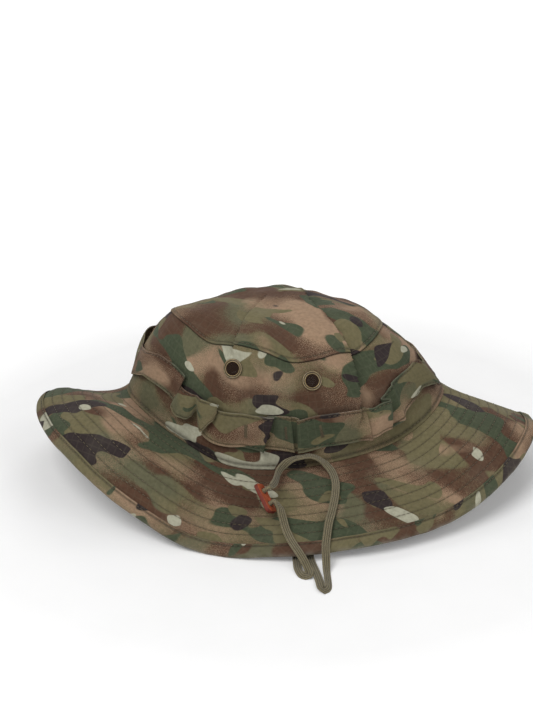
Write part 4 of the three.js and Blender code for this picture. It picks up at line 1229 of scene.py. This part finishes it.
class HAT_OT_foliage_band(bpy.types.Operator):
    """Make the foliage band: a doubled strap tacked to the crown, looped and pleated between"""
    bl_idname = "hat.foliage_band"
    bl_label = "Foliage band"

    def execute(self, context):
        up = np.array(BAND_UPS)[:, None]
        points, bearing = band_surface(up)
        inset = BAND_ROW_INSET / BAND_HEIGHT
        groove = sewn_groove(up, [inset, 1 - inset], 0.02) * BAND_GROOVE
        crumple = ripple(points, 0.016, 51) * 0.00025
        points = points + outward(bearing) * (crumple - groove)[..., None] + CLOTH_SHIFT
        around = ring_lengths(points[len(BAND_UPS) // 2])
        flat = np.zeros_like(points)
        flat[..., 0] = around[None, :]
        flat[..., 1] = up * BAND_HEIGHT
        wear = np.broadcast_to(0.5 * np.exp(-((np.minimum(up, 1 - up) / 0.02) ** 2)),
                               points.shape[:2])
        # Painted shade along the band's two rows of stitches
        sewn = np.broadcast_to(groove / BAND_GROOVE, points.shape[:2])
        piece = new_piece("foliage_strap", points, grid_faces(*points.shape[:2], False),
                          flat=flat, wear=wear, seam=sewn)
        dress(piece, "hat", "band_cloth", [printed_cloth("band_print", (5.3, 3.1, 0), 0)],
              "foliage_band")
        thicken(piece, BAND_CLOTH * BAND_SHARE)
        return {"FINISHED"}


# Vents

def lathe(name, outline, steps):
    """Spins an outline of (radius, height) corners round Z into a closed ring."""
    deselect_all()
    first = outline[0]
    bpy.ops.mesh.primitive_plane_add(size=0.001, location=(first[0], 0, first[1]))
    piece = bpy.context.active_object
    piece.name = name
    bpy.ops.object.mode_set(mode="EDIT")
    bpy.ops.mesh.select_all(action="SELECT")
    bpy.ops.mesh.merge(type="CENTER")
    for here, there in zip(outline, [*outline[1:], first]):
        step = (there[0] - here[0], 0, there[1] - here[1])
        bpy.ops.mesh.extrude_region_move(TRANSFORM_OT_translate={"value": step})
    bpy.ops.mesh.select_all(action="SELECT")
    bpy.ops.mesh.remove_doubles(threshold=1e-6)
    bpy.ops.mesh.spin(steps=steps, angle=2 * math.pi, center=(0, 0, 0), axis=(0, 0, 1))
    bpy.ops.mesh.select_all(action="SELECT")
    bpy.ops.mesh.remove_doubles(threshold=1e-6)
    bpy.ops.mesh.normals_make_consistent(inside=False)
    bpy.ops.object.mode_set(mode="OBJECT")
    bpy.ops.object.transform_apply(location=True, rotation=True, scale=True)
    piece.data.shade_smooth()
    piece.data.set_sharp_from_angle(angle=math.radians(40))
    return piece


def copy_to(form, name, matrix):
    """A copy of a form with its own mesh, placed in its mesh."""
    mesh = form.data.copy()
    mesh.name = name
    mesh.transform(matrix)
    piece = bpy.data.objects.new(name, mesh)
    bpy.context.scene.collection.objects.link(piece)
    return piece


def arc(middle, radius, start, end, count):
    """Corners along part of a circle, in the outline's (radius, height) plane."""
    angles = np.radians(np.linspace(start, end, count))
    return [(middle[0] + radius * math.cos(a), middle[1] + radius * math.sin(a)) for a in angles]


def brass_material(name, colour, rub, dull=0.0):
    """Painted brass, worn to metal on its rims. A dull finish is rougher and shines less."""
    material, graph, surface = new_material(name, roughness=0.42, specular=0.5 - dull)
    place = graph.node("ShaderNodeTexCoord").outputs["Object"]
    chipped = graph.noise(place, 900.0, detail=4.0)
    worn = graph.attribute("wear", "Fac")
    bare = graph.ramp(graph.math("ADD", worn, graph.math("MULTIPLY", chipped, 0.7)), 1.0, 1.15)
    shade = graph.ramp(graph.noise(place, 240.0, detail=3.0), 0.3, 0.7, 0.8, 1.15)
    painted = graph.vector_math("SCALE", colour, scale=shade)
    graph.put(surface["Base Color"], graph.mix(bare, painted, rub))
    graph.put(surface["Metallic"], graph.math("MULTIPLY", bare, 0.9))
    graph.put(surface["Roughness"], graph.ramp(chipped, 0.3, 0.7, 0.34 + dull, 0.52 + dull))
    bump(graph, surface, chipped, 0.00004, 0.5)
    return material


def wear_by_radius(piece, radii, width):
    """Marks rims at some radii of a ring as worn."""
    layer = piece.data.attributes.new("wear", "FLOAT", "POINT")
    points = np.array([v.co[:] for v in piece.data.vertices])
    radius = np.hypot(points[:, 0], points[:, 1])
    worn = sum(np.exp(-(((radius - r) / width) ** 2)) for r in radii)
    layer.data.foreach_set("value", (worn * (points[:, 2] > 0)).astype(np.float32))


class HAT_OT_vents(bpy.types.Operator):
    """Set the four vents: a flanged eyelet, a washer behind the cloth and a woven screen"""
    bl_idname = "hat.vents"
    bl_label = "Vents"

    def execute(self, context):
        trim = context.scene.sun_hat.trim
        brass = brass_material("eyelet_paint", trim.brass, trim.bare_brass)
        wire = brass_material("screen_wire_finish", trim.wire, trim.bare_brass, 0.4)
        eyelet = self.eyelet_form()
        washer = self.washer_form()
        screen = self.screen_form()
        for i, vent in enumerate(vent_frames(), 1):
            for form, name, slot, material, node in (
                    (eyelet, "vent_ring", "eyelet_brass", brass, "vent_eyelet"),
                    (washer, "vent_back_ring", "eyelet_brass", brass, "vent_washer"),
                    (screen, "vent_mesh", "screen_wire", wire, "vent_screen")):
                piece = copy_to(form, f"{name}_{i}", vent)
                dress(piece, "hat", slot, [material], f"{node}_{i}")
        for form in (eyelet, washer, screen):
            bpy.data.objects.remove(form)
        return {"FINISHED"}

    def eyelet_form(self):
        """A rolled flange with a raised inner bead, a barrel and the clenched end behind."""
        outline = [(0.0028, 0.0003), (0.0031, 0.0005), (0.0040, 0.0005), (0.0041, 0.0009),
                   *arc((0.0043, 0.00105), 0.0002, 160, 10, 6), (0.00455, 0.00085),
                   (0.0049, 0.0008), *arc((0.00545, 0.0008), 0.0005, 140, -35, 8),
                   (0.0058, 0.00042), (0.0034, 0.0004), (0.0034, -0.0026), (0.0042, -0.0027),
                   (0.0044, -0.0029), (0.0042, -0.00315), (0.0028, -0.00315)]
        form = lathe("eyelet_form", outline, 48)
        wear_by_radius(form, (0.0043, 0.0055), 0.0002)
        return form

    def washer_form(self):
        outline = [(0.0037, -0.0017), (0.0040, -0.00166), (0.0055, -0.00166), (0.0058, -0.0018),
                   (0.0058, -0.0021), (0.0054, -0.00232), (0.0040, -0.00232), (0.0037, -0.0022)]
        form = lathe("washer_form", outline, 48)
        wear_by_radius(form, (), 1)
        return form

    def screen_form(self):
        """Crossed wires, each going over and under the ones that it meets."""
        radius, pitch, gauge, level = 0.0041, 0.0006, 0.00048, 0.0008
        forms = []
        count = int(radius / pitch)
        for axis in (0, 1):
            for i in range(-count, count + 1):
                offset = i * pitch
                half = math.sqrt(radius**2 - offset**2)
                along = np.linspace(-half, half, 40)
                path = np.zeros((len(along), 3))
                path[:, axis] = along
                path[:, 1 - axis] = offset
                swing = (1 if axis else -1) * (1 if i % 2 else -1)
                path[:, 2] = level + swing * gauge * 0.55 * np.cos(math.pi * along / pitch)
                across = np.zeros((len(along), 3))
                across[:, 1 - axis] = 1
                corners = [(gauge / 2 * math.cos(a), gauge / 2 * math.sin(a))
                           for a in np.linspace(0, 2 * math.pi, 6, endpoint=False)]
                forms.append(sweep(f"wire_{axis}_{i}", path, across, np.array(corners)))
        deselect_all()
        for form in forms:
            form.select_set(True)
        bpy.context.view_layer.objects.active = forms[0]
        bpy.ops.object.join()
        return bpy.context.active_object


# Chin cord and keeper

def keeper_matrix():
    """The keeper's place: X across it, Y along it and Z out of its face."""
    along = Vector(KEEPER_LENGTHWISE).normalized()
    facing = Vector(KEEPER_FACING)
    facing = (facing - along * facing.dot(along)).normalized()
    across = along.cross(facing)
    turn = Matrix((across, along, facing)).transposed().to_4x4()
    return Matrix.Translation(KEEPER_PLACE) @ turn


def in_keeper(x, y, z):
    return np.array(keeper_matrix() @ Vector((x, y, z)))


def cord_points():
    """The whole cord from the near side, through the keeper and back to the far side, with the
    direction across the braid at each point."""
    half = KEEPER_HOLE_SPACING / 2
    face = KEEPER_THICKNESS / 2
    near = np.array(NEAR_RUN) * THOUSANDTH
    far = np.array(FAR_RUN) * THOUSANDTH
    gate = KEEPER_STRAIGHT
    into = [in_keeper(0, half, z) for z in (face + gate, face + gate / 2, face, 0, -face)]
    turn = [in_keeper(0, half * math.cos(a), -face - BIGHT_GAP - BIGHT_BOW * math.sin(a))
            for a in np.linspace(0.25, math.pi - 0.25, 6)]
    back = [in_keeper(0, -half, z) for z in (-face, 0, face, face + gate / 2, face + gate)]
    held = np.array([*into, *turn, *back])
    return near, held, far[::-1]


class HAT_OT_chin_cord(bpy.types.Operator):
    """Lay the chin cord: one flat ribbed braid from the near side through the keeper and back"""
    bl_idname = "hat.chin_cord"
    bl_label = "Chin cord"

    def execute(self, context):
        cord = context.scene.sun_hat.cord
        near, held, far = cord_points()
        stops = np.vstack([near, held, far])
        facing = self.facings(len(near), len(held), len(far))
        lowered = np.zeros(len(stops))
        lowered[:len(near)] = lowered[-len(far):] = CORD_SINK
        stops = stops - unit(facing) * lowered[:, None]
        stops[:, 2] = np.maximum(stops[:, 2], cord.thickness / 2 + FLOOR_CLEARANCE / 2)
        path = smooth_route(stops, 0.0012)
        place = np.array([np.argmin(np.linalg.norm(path - stop, axis=1)) for stop in stops])
        place = np.maximum.accumulate(place)
        index = np.arange(len(path))
        facing = unit(np.stack([np.interp(index, place, facing[:, k]) for k in range(3)], -1))
        along = unit(np.gradient(path, axis=0))
        across = unit(np.cross(facing, along))
        from_keeper = np.linalg.norm(path - np.array(KEEPER_PLACE), axis=1)
        bunched = 1 - ease((from_keeper - BUNCH_FROM) / BUNCH_FADE)
        # groove: painted shade between the braid's ribs
        section, groove = self.section(cord, bunched)
        piece = sweep("chin_cord_braid", path, across, section, seam=groove, smooth=75)
        dress(piece, "hat", "cord_braid", [self.braid(context)], "chin_cord_near_run",
              "chin_cord_bight", "chin_cord_far_run")
        return {"FINISHED"}

    def facings(self, near, held, far):
        """Which way the flat of the braid faces at each point of the route."""
        sideways, up, towards = (0, -1, 0.05), (0, 0, 1), (0.1, -0.45, 0.9)
        keeper = np.array(KEEPER_LENGTHWISE)
        ahead = [sideways] * 4 + [up] * 6 + [(-0.5, -0.3, 0.8)] * 3 + [towards] * (near - 14)
        ahead += [(0.2, 0.2, 0.9)]
        back = [sideways] * 4 + [up] * 13 + [(0.5, -0.3, 0.8)] * 4 + [(0.15, -0.45, 0.88)] * 6
        back += [(0.1, -0.45, 0.88)] * 2 + [(0, -0.1, 1)] * 4 + [(0.4, -0.1, 0.9)]
        back += [(0.8, -0.1, 0.5)] * (far - len(back))
        turned = [tuple(-keeper)] * held
        return unit(np.array(ahead + turned + back[::-1], dtype=float))

    def section(self, cord, bunched):
        """Flat with four ribs, drawn together where it passes through the keeper. Also gives the
        painted shade in the grooves between the ribs."""
        a = np.linspace(0, 2 * math.pi, 80, endpoint=False)
        x, y = np.cos(a), np.sin(a)
        flat_x = np.sign(x) * np.abs(x) ** 0.7
        flat_y = np.sign(y) * np.abs(y) ** 0.55
        wave = 0.5 - 0.5 * np.cos((flat_x + 1) * math.pi * 4)
        ribs = 1 - 0.3 * (1 - wave) ** 2 * np.abs(y) ** 0.3
        wide = cord.width / 2 * (1 - bunched) + BUNCHED_HALF_WIDTH * bunched
        thick = cord.thickness / 2 * (1 - bunched) + BUNCHED_HALF_THICKNESS * bunched
        shape = np.stack([wide[:, None] * flat_x, thick[:, None] * flat_y * ribs], -1)
        # The second value is painted shade in the grooves between the ribs
        return shape, (1 - wave) ** 2 * (np.abs(flat_x) < 0.93)

    def braid(self, context):
        """Olive-khaki braid: lengthwise ribs crossed by slanting yarns, with painted shade in the
        grooves between the ribs.
        """
        material, graph, surface = new_material("braid", roughness=0.8, sheen=0.2, specular=0.3)
        flat = graph.attribute("flat", "Vector")
        parts = graph.node("ShaderNodeSeparateXYZ")
        graph.put(parts.inputs[0], flat)
        along = graph.math("MULTIPLY", parts.outputs[0], 2 * math.pi / YARN_ALONG)
        across = graph.math("MULTIPLY", parts.outputs[1], 2 * math.pi / YARN_ACROSS)
        slant = graph.math("SINE", graph.math("ADD", along, across))
        cross = graph.math("SINE", graph.math("SUBTRACT", along, across))
        yarn = graph.math("MAXIMUM", slant, cross)
        tone = graph.ramp(yarn, -0.4, 1.0, 0.72, 1.1)
        fuzz = graph.noise(flat, 1300.0, detail=3.0)
        tone = graph.math("MULTIPLY", tone, graph.ramp(fuzz, 0.3, 0.7, 0.85, 1.12))
        # Painted shade: the grooves between the ribs are darkened
        groove = graph.ramp(graph.attribute("seam", "Fac"), 0.05, 0.9, 1.0, 0.22)
        tone = graph.math("MULTIPLY", tone, groove)
        colour = graph.vector_math("SCALE", context.scene.sun_hat.cord.colour, scale=tone)
        worn = graph.group(shared_group("use_marks", fade_group), Color=colour, Place=flat)
        graph.put(surface["Base Color"], worn["Color"])
        bump(graph, surface, graph.math("MULTIPLY_ADD", yarn, 0.6, fuzz), 0.00025)
        return material


class HAT_OT_keeper(bpy.types.Operator):
    """Cut the leather keeper: a tab with rounded corners and two punched holes"""
    bl_idname = "hat.keeper"
    bl_label = "Leather keeper"

    def execute(self, context):
        deselect_all()
        bpy.ops.mesh.primitive_cube_add(size=1)
        tab = bpy.context.active_object
        tab.name = "keeper_tab"
        tab.data.transform(Matrix.Diagonal((KEEPER_WIDTH, KEEPER_LENGTH, KEEPER_THICKNESS, 1)))
        self.round_corners(tab)
        self.punch(tab)
        self.soften(tab)
        tab.data.transform(keeper_matrix())
        leather, cut = self.leather(context)
        dress(tab, "keeper", "keeper_leather", [leather, cut], "cord_keeper")
        facing = keeper_matrix().to_3x3() @ Vector((0, 0, 1))
        for face in tab.data.polygons:
            face.material_index = 1 if abs(face.normal.dot(facing)) < 0.75 else 0
        tab.data.shade_smooth()
        tab.data.set_sharp_from_angle(angle=math.radians(50))
        return {"FINISHED"}

    def round_corners(self, tab):
        """Bevels the four upright corners, then the rims of both faces."""
        bpy.ops.object.mode_set(mode="EDIT")
        bpy.ops.mesh.select_mode(type="EDGE")
        bpy.ops.mesh.select_all(action="DESELECT")
        bpy.ops.object.mode_set(mode="OBJECT")
        for edge in tab.data.edges:
            a, b = [tab.data.vertices[i].co for i in edge.vertices]
            edge.select = abs(a.z - b.z) > KEEPER_THICKNESS / 2
        bpy.ops.object.mode_set(mode="EDIT")
        bpy.ops.mesh.bevel(offset=KEEPER_CORNER, segments=8, profile=0.5)
        bpy.ops.object.mode_set(mode="OBJECT")

    def punch(self, tab):
        """Punches the two holes for the cord."""
        for end in (-1, 1):
            deselect_all()
            bpy.ops.mesh.primitive_cylinder_add(
                vertices=32, radius=KEEPER_HOLE / 2, depth=KEEPER_THICKNESS * 3,
                location=(0, end * KEEPER_HOLE_SPACING / 2, 0))
            punch = bpy.context.active_object
            make_active(tab)
            cut = tab.modifiers.new("punch", "BOOLEAN")
            cut.object = punch
            cut.solver = "EXACT"
            bpy.ops.object.modifier_apply(modifier=cut.name)
            bpy.data.objects.remove(punch)

    def soften(self, tab):
        """Rounds the rims of the tab and of its holes."""
        make_active(tab)
        rims = tab.modifiers.new("rims", "BEVEL")
        rims.width = KEEPER_RIM
        rims.segments = 3
        rims.limit_method = "ANGLE"
        rims.angle_limit = math.radians(50)
        bpy.ops.object.modifier_apply(modifier=rims.name)

    def leather(self, context):
        """Grained leather, and its darker cut edge."""
        trim = context.scene.sun_hat.trim
        made = []
        for name, colour, roughness in (("leather_face", trim.leather, 0.55),
                                        ("leather_cut_edge", trim.leather_edge, 0.7)):
            material, graph, surface = new_material(name, roughness=roughness, specular=0.4)
            place = graph.node("ShaderNodeTexCoord").outputs["Object"]
            grain = graph.node("ShaderNodeTexVoronoi", feature="DISTANCE_TO_EDGE")
            graph.put(grain.inputs["Vector"], place)
            graph.put(grain.inputs["Scale"], 2200.0)
            pores = graph.ramp(grain.outputs["Distance"], 0.0, 0.25)
            blotch = graph.ramp(graph.noise(place, 260.0, detail=3.0), 0.3, 0.7, 0.78, 1.15)
            tone = graph.math("MULTIPLY", blotch, graph.ramp(pores, 0.0, 1.0, 0.85, 1.03))
            graph.put(surface["Base Color"], graph.vector_math("SCALE", colour, scale=tone))
            bump(graph, surface, pores, 0.00006, 0.7)
            made.append(material)
        return made


# Sewing

class HAT_OT_stitching(bpy.types.Operator):
    """Sew every row that shows: brim, binding, crown and foliage band"""
    bl_idname = "hat.stitching"
    bl_label = "Stitching"

    def execute(self, context):
        look = context.scene.sun_hat.sewing
        thread = thread_material("thread", look.colour)
        sew("brim_stitching", [*self.brim_lines(1), *self.brim_lines(-1)], thread,
            "camouflage_cloth")
        sew("binding_stitching", [*self.binding_lines(1), *self.binding_lines(-1)], thread,
            "binding_cloth")
        sew("crown_stitching", self.crown_lines(), thread, "camouflage_cloth")
        sew("band_stitching", self.band_lines(), thread, "band_cloth")
        sew("band_tacks", self.tacks(), thread, "band_cloth")
        return {"FINISHED"}

    def brim_lines(self, side):
        bearing = np.linspace(-180, 180, 721)
        lines = []
        for reach in brim_rows():
            lift = brim_lift(bearing, np.full_like(bearing, reach), STACK_HALF, side)
            points = brim_layer(bearing, reach, lift) + CLOTH_SHIFT
            lines.append((points, brim_square(bearing, np.full_like(bearing, reach)) * side,
                          BRIM_THREAD_LIFT))
        return lines

    def binding_lines(self, side):
        bearing = np.linspace(-180, 180, 721)
        reach = BRIM_WIDTH - BINDING_WIDTH + BINDING_ROW_INSET
        lift = side * (STACK_HALF + SEAT + BINDING_CLOTH - BINDING_GROOVE)
        points = brim_layer(bearing, reach, lift) + CLOTH_SHIFT
        return [(points, brim_square(bearing, np.full_like(bearing, reach)) * side,
                 BRIM_THREAD_LIFT)]

    def crown_lines(self):
        lines = []
        for start, end in ((-179.4, -0.6), (0.6, 179.4)):
            bearing = np.linspace(start, end, 361)
            share = SIDE_ROW_RISE / side_length(bearing)
            points = side_point(bearing, share) - outward(bearing) * SIDE_GROOVE + CLOTH_SHIFT
            lines.append((points, outward(bearing), SIDE_THREAD_LIFT))
        share = np.linspace(0.03, 0.97, 160)
        for end in (0, 180):
            for beside in (-END_ROW_BESIDE, END_ROW_BESIDE):
                bearing = np.full_like(share, end + beside)
                points = side_point(bearing, share) + CLOTH_SHIFT
                lines.append((points, outward(bearing), END_THREAD_LIFT))
        bearing = np.linspace(-180, 180, 721)
        radius = np.linalg.norm(top_seam_point(bearing)[:, :2] - (TOP_SHIFT, 0), axis=-1)
        share = 1 - TOP_ROW_INSET / radius
        points = top_point(bearing, share) + CLOTH_SHIFT
        points[:, 2] -= TOP_THREAD_DROP
        lines.append((points, top_square(bearing, share), TOP_THREAD_LIFT))
        return lines

    def band_lines(self):
        lines = []
        inset = BAND_ROW_INSET / BAND_HEIGHT
        for up in (inset, 1 - inset):
            points, bearing = band_surface(np.array([[up]]))
            out = outward(bearing[0])
            points = points[0] - out * BAND_GROOVE + CLOTH_SHIFT
            lines.append((points, out, BAND_THREAD_LIFT))
        return lines

    def tacks(self):
        """Bar tacks: short level stitches, close together up the band."""
        lines = []
        rows = np.array(BAND_ROWS)
        beside = np.array([-TACK_HALF_WIDTH, TACK_HALF_WIDTH])
        for bearing, middle in BAND_TACKS:
            nearest = rows[np.argmin(np.abs(rows[:, 0] - bearing) + rows[:, 1])]
            for rise in np.linspace(-TACK_HALF_HEIGHT, TACK_HALF_HEIGHT, TACK_STITCHES):
                height = BAND_RISE + middle * THOUSANDTH + rise
                around = bearing + beside
                stand = SEAT + BAND_CLOTH + (nearest[1] + nearest[2]) / 2 * THOUSANDTH + TACK_LIFT
                points = side_point(around, height / side_length(around))
                points = points + outward(around) * stand + CLOTH_SHIFT
                lines.append((points, outward(around), BAND_THREAD_LIFT))
        return lines


# Stage

class HAT_OT_stage(bpy.types.Operator):
    """Set the camera at the photograph's place, a pale floor and soft lamps"""
    bl_idname = "hat.stage"
    bl_label = "Stage"

    def execute(self, context):
        self.camera(context)
        self.floor(context)
        self.lamps(context)
        self.world(context)
        context.scene.view_settings.view_transform = "Standard"
        return {"FINISHED"}

    def camera(self, context):
        data = bpy.data.cameras.new("camera")
        data.lens = CAMERA_LENS
        data.sensor_width = CAMERA_SENSOR
        data.shift_x, data.shift_y = CAMERA_SHIFT
        camera = bpy.data.objects.new("camera", data)
        camera.location = CAMERA_PLACE
        camera.rotation_euler = (math.radians(CAMERA_TILT), 0, 0)
        context.scene.collection.objects.link(camera)
        context.scene.camera = camera

    def floor(self, context):
        stage = context.scene.sun_hat.stage
        deselect_all()
        bpy.ops.mesh.primitive_plane_add(size=8, location=(0, 0, 0))
        floor = context.active_object
        floor.name = "studio_floor"
        material, graph, surface = new_material("floor_paper", roughness=0.9, specular=0.1)
        place = graph.node("ShaderNodeTexCoord").outputs["Object"]
        tone = graph.ramp(graph.noise(place, 30.0, detail=3.0), 0.3, 0.7, 0.99, 1.01)
        graph.put(surface["Base Color"], graph.vector_math("SCALE", stage.floor, scale=tone))
        bump(graph, surface, graph.noise(place, 700.0), 0.00002, 0.2)
        seen = graph.node("ShaderNodeLightPath").outputs["Is Camera Ray"]
        away = graph.node("ShaderNodeVectorMath", operation="LENGTH")
        graph.put(away.inputs[0], place)
        glow = graph.ramp(away.outputs["Value"], GLOW_FROM, GLOW_TO, stage.floor_glow, 1.0)
        surface["Emission Color"].default_value = (1, 1, 1, 1)
        graph.put(surface["Emission Strength"], graph.math("MULTIPLY", seen, glow))
        floor.data.materials.append(material)

    def lamps(self, context):
        power = context.scene.sun_hat.stage.lamp_power
        for name, place, size, share in (
                ("key_lamp", (-0.7, -0.7, 1.5), 1.2, 1.0),
                ("fill_lamp", (1.1, -0.8, 0.9), 1.3, 0.35),
                ("back_lamp", (0.2, 1.3, 1.2), 1.2, 0.35)):
            data = bpy.data.lights.new(name, "AREA")
            data.shape = "DISK"
            data.size = size
            data.energy = power * share
            lamp = bpy.data.objects.new(name, data)
            lamp.location = place
            aim = Vector(LAMP_AIM) - Vector(place)
            lamp.rotation_euler = aim.to_track_quat("-Z", "Y").to_euler()
            context.scene.collection.objects.link(lamp)

    def world(self, context):
        world = bpy.data.worlds.new("studio")
        context.scene.world = world
        world.use_nodes = True
        graph = Graph(world.node_tree)
        background = world.node_tree.nodes["Background"]
        background.inputs["Color"].default_value = (1, 1, 1, 1)
        rays = graph.node("ShaderNodeLightPath").outputs
        seen = graph.math("MAXIMUM", rays["Is Camera Ray"], rays["Is Glossy Ray"])
        seen = graph.math("MAXIMUM", seen, rays["Is Transmission Ray"])
        light = context.scene.sun_hat.stage.world_light
        graph.put(background.inputs["Strength"], graph.ramp(seen, 0.0, 1.0, light, 1.0))


# Settings

def colour_setting(name, description, colour):
    return FloatVectorProperty(name=name, description=description, subtype="COLOR", size=4,
                               min=0, max=1, default=colour)


def length_setting(name, description, metres):
    return FloatProperty(name=name, description=description, default=metres, min=0,
                         unit="LENGTH", precision=5)


class ClothSettings(bpy.types.PropertyGroup):
    """Colours and pattern sizes of the printed cloth"""
    khaki: colour_setting("Khaki", "Ground colour of the print", srgb(104, 97, 70))
    sage: colour_setting("Sage", "Grey-green shade of the ground", srgb(92, 90, 68))
    brown: colour_setting("Brown", "Large brown blotches", srgb(80, 57, 43))
    green: colour_setting("Green", "Green blotches", srgb(64, 71, 53))
    tan: colour_setting("Tan", "Tan blotches", srgb(146, 121, 98))
    pale: colour_setting("Pale", "Small pale strokes", srgb(168, 166, 146))
    dark: colour_setting("Dark", "Small dark strokes", srgb(46, 38, 38))
    reverse: colour_setting("Reverse", "Back of the cloth", srgb(118, 112, 92))
    lining: colour_setting("Lining", "Sweatband and interlining", srgb(92, 88, 70))
    blotch: length_setting("Blotch size", "Size that the print's motifs follow", 0.03)
    speckle: FloatProperty(name="Speckle", description="How broken the print's edges are",
                           default=0.45, min=0, max=1)
    grid: length_setting("Ripstop grid", "Spacing of the thicker threads", 0.005)


class SewingSettings(bpy.types.PropertyGroup):
    """Thread and stitches"""
    stitch: length_setting("Stitch", "Length of thread that shows", 0.0023)
    gap: length_setting("Gap", "Cloth between two stitches", 0.0009)
    thread: length_setting("Thread", "Thickness of the thread", 0.0004)
    colour: colour_setting("Thread colour", "Colour of the sewing thread", srgb(86, 75, 54))


class CordSettings(bpy.types.PropertyGroup):
    """Flat braid of the chin cord"""
    width: length_setting("Width", "Width of the flat braid", 0.0048)
    thickness: length_setting("Thickness", "Thickness of the flat braid", 0.0015)
    colour: colour_setting("Colour", "Colour of the braid", srgb(126, 116, 88))


class TrimSettings(bpy.types.PropertyGroup):
    """Brass and leather"""
    brass: colour_setting("Paint", "Olive paint on the eyelets", srgb(78, 66, 46))
    bare_brass: colour_setting("Bare brass", "Metal where the paint is rubbed off",
                               srgb(158, 138, 98))
    wire: colour_setting("Wire", "Blackened wire of the screens", srgb(46, 34, 27))
    leather: colour_setting("Leather", "Face of the keeper", srgb(166, 78, 45))
    leather_edge: colour_setting("Cut edge", "Cut edge of the leather", srgb(108, 40, 25))


class StageSettings(bpy.types.PropertyGroup):
    """Floor and light"""
    floor: colour_setting("Floor", "Colour of the floor", (0.86, 0.86, 0.86, 1))
    floor_glow: FloatProperty(name="Floor glow", description="Lift of the floor to the camera",
                              default=0.12, min=0, max=1)
    lamp_power: FloatProperty(name="Lamp power", description="Power of the main lamp",
                              default=19, min=0, unit="POWER")
    world_light: FloatProperty(name="World light", description="Light from all round",
                               default=0.27, min=0)


class HatSettings(bpy.types.PropertyGroup):
    """What a user would change on the hat"""
    cloth: PointerProperty(type=ClothSettings)
    sewing: PointerProperty(type=SewingSettings)
    cord: PointerProperty(type=CordSettings)
    trim: PointerProperty(type=TrimSettings)
    stage: PointerProperty(type=StageSettings)


OPERATORS = (HAT_OT_stage, HAT_OT_chin_cord, HAT_OT_crown_cloth, HAT_OT_brim_cloth,
             HAT_OT_brim_binding, HAT_OT_sweatband, HAT_OT_foliage_band, HAT_OT_vents,
             HAT_OT_keeper, HAT_OT_stitching)


class HAT_PT_panel(bpy.types.Panel):
    """Steps that dress the hat"""
    bl_idname = "HAT_PT_panel"
    bl_label = "Soft sun hat"
    bl_space_type = "VIEW_3D"
    bl_region_type = "UI"
    bl_category = "Sun Hat"

    def draw(self, context):
        for operator in OPERATORS:
            self.layout.operator(operator.bl_idname)
        settings = context.scene.sun_hat
        for part in ("cloth", "sewing", "cord", "trim", "stage"):
            group = getattr(settings, part)
            box = self.layout.box()
            for name in group.__annotations__:
                box.prop(group, name)


CLASSES = (ClothSettings, SewingSettings, CordSettings, TrimSettings, StageSettings, HatSettings,
           *OPERATORS, HAT_PT_panel)


def register():
    for cls in CLASSES:
        bpy.utils.register_class(cls)
    bpy.types.Scene.sun_hat = PointerProperty(type=HatSettings)


def unregister():
    del bpy.types.Scene.sun_hat
    for cls in reversed(CLASSES):
        bpy.utils.unregister_class(cls)


def main():
    register()
    bpy.ops.hat.stage()
    bpy.ops.hat.chin_cord()
    bpy.ops.hat.crown_cloth()
    bpy.ops.hat.brim_cloth()
    bpy.ops.hat.brim_binding()
    bpy.ops.hat.sweatband()
    bpy.ops.hat.foliage_band()
    bpy.ops.hat.vents()
    bpy.ops.hat.keeper()
    bpy.ops.hat.stitching()


if __name__ == "__main__":
    main()
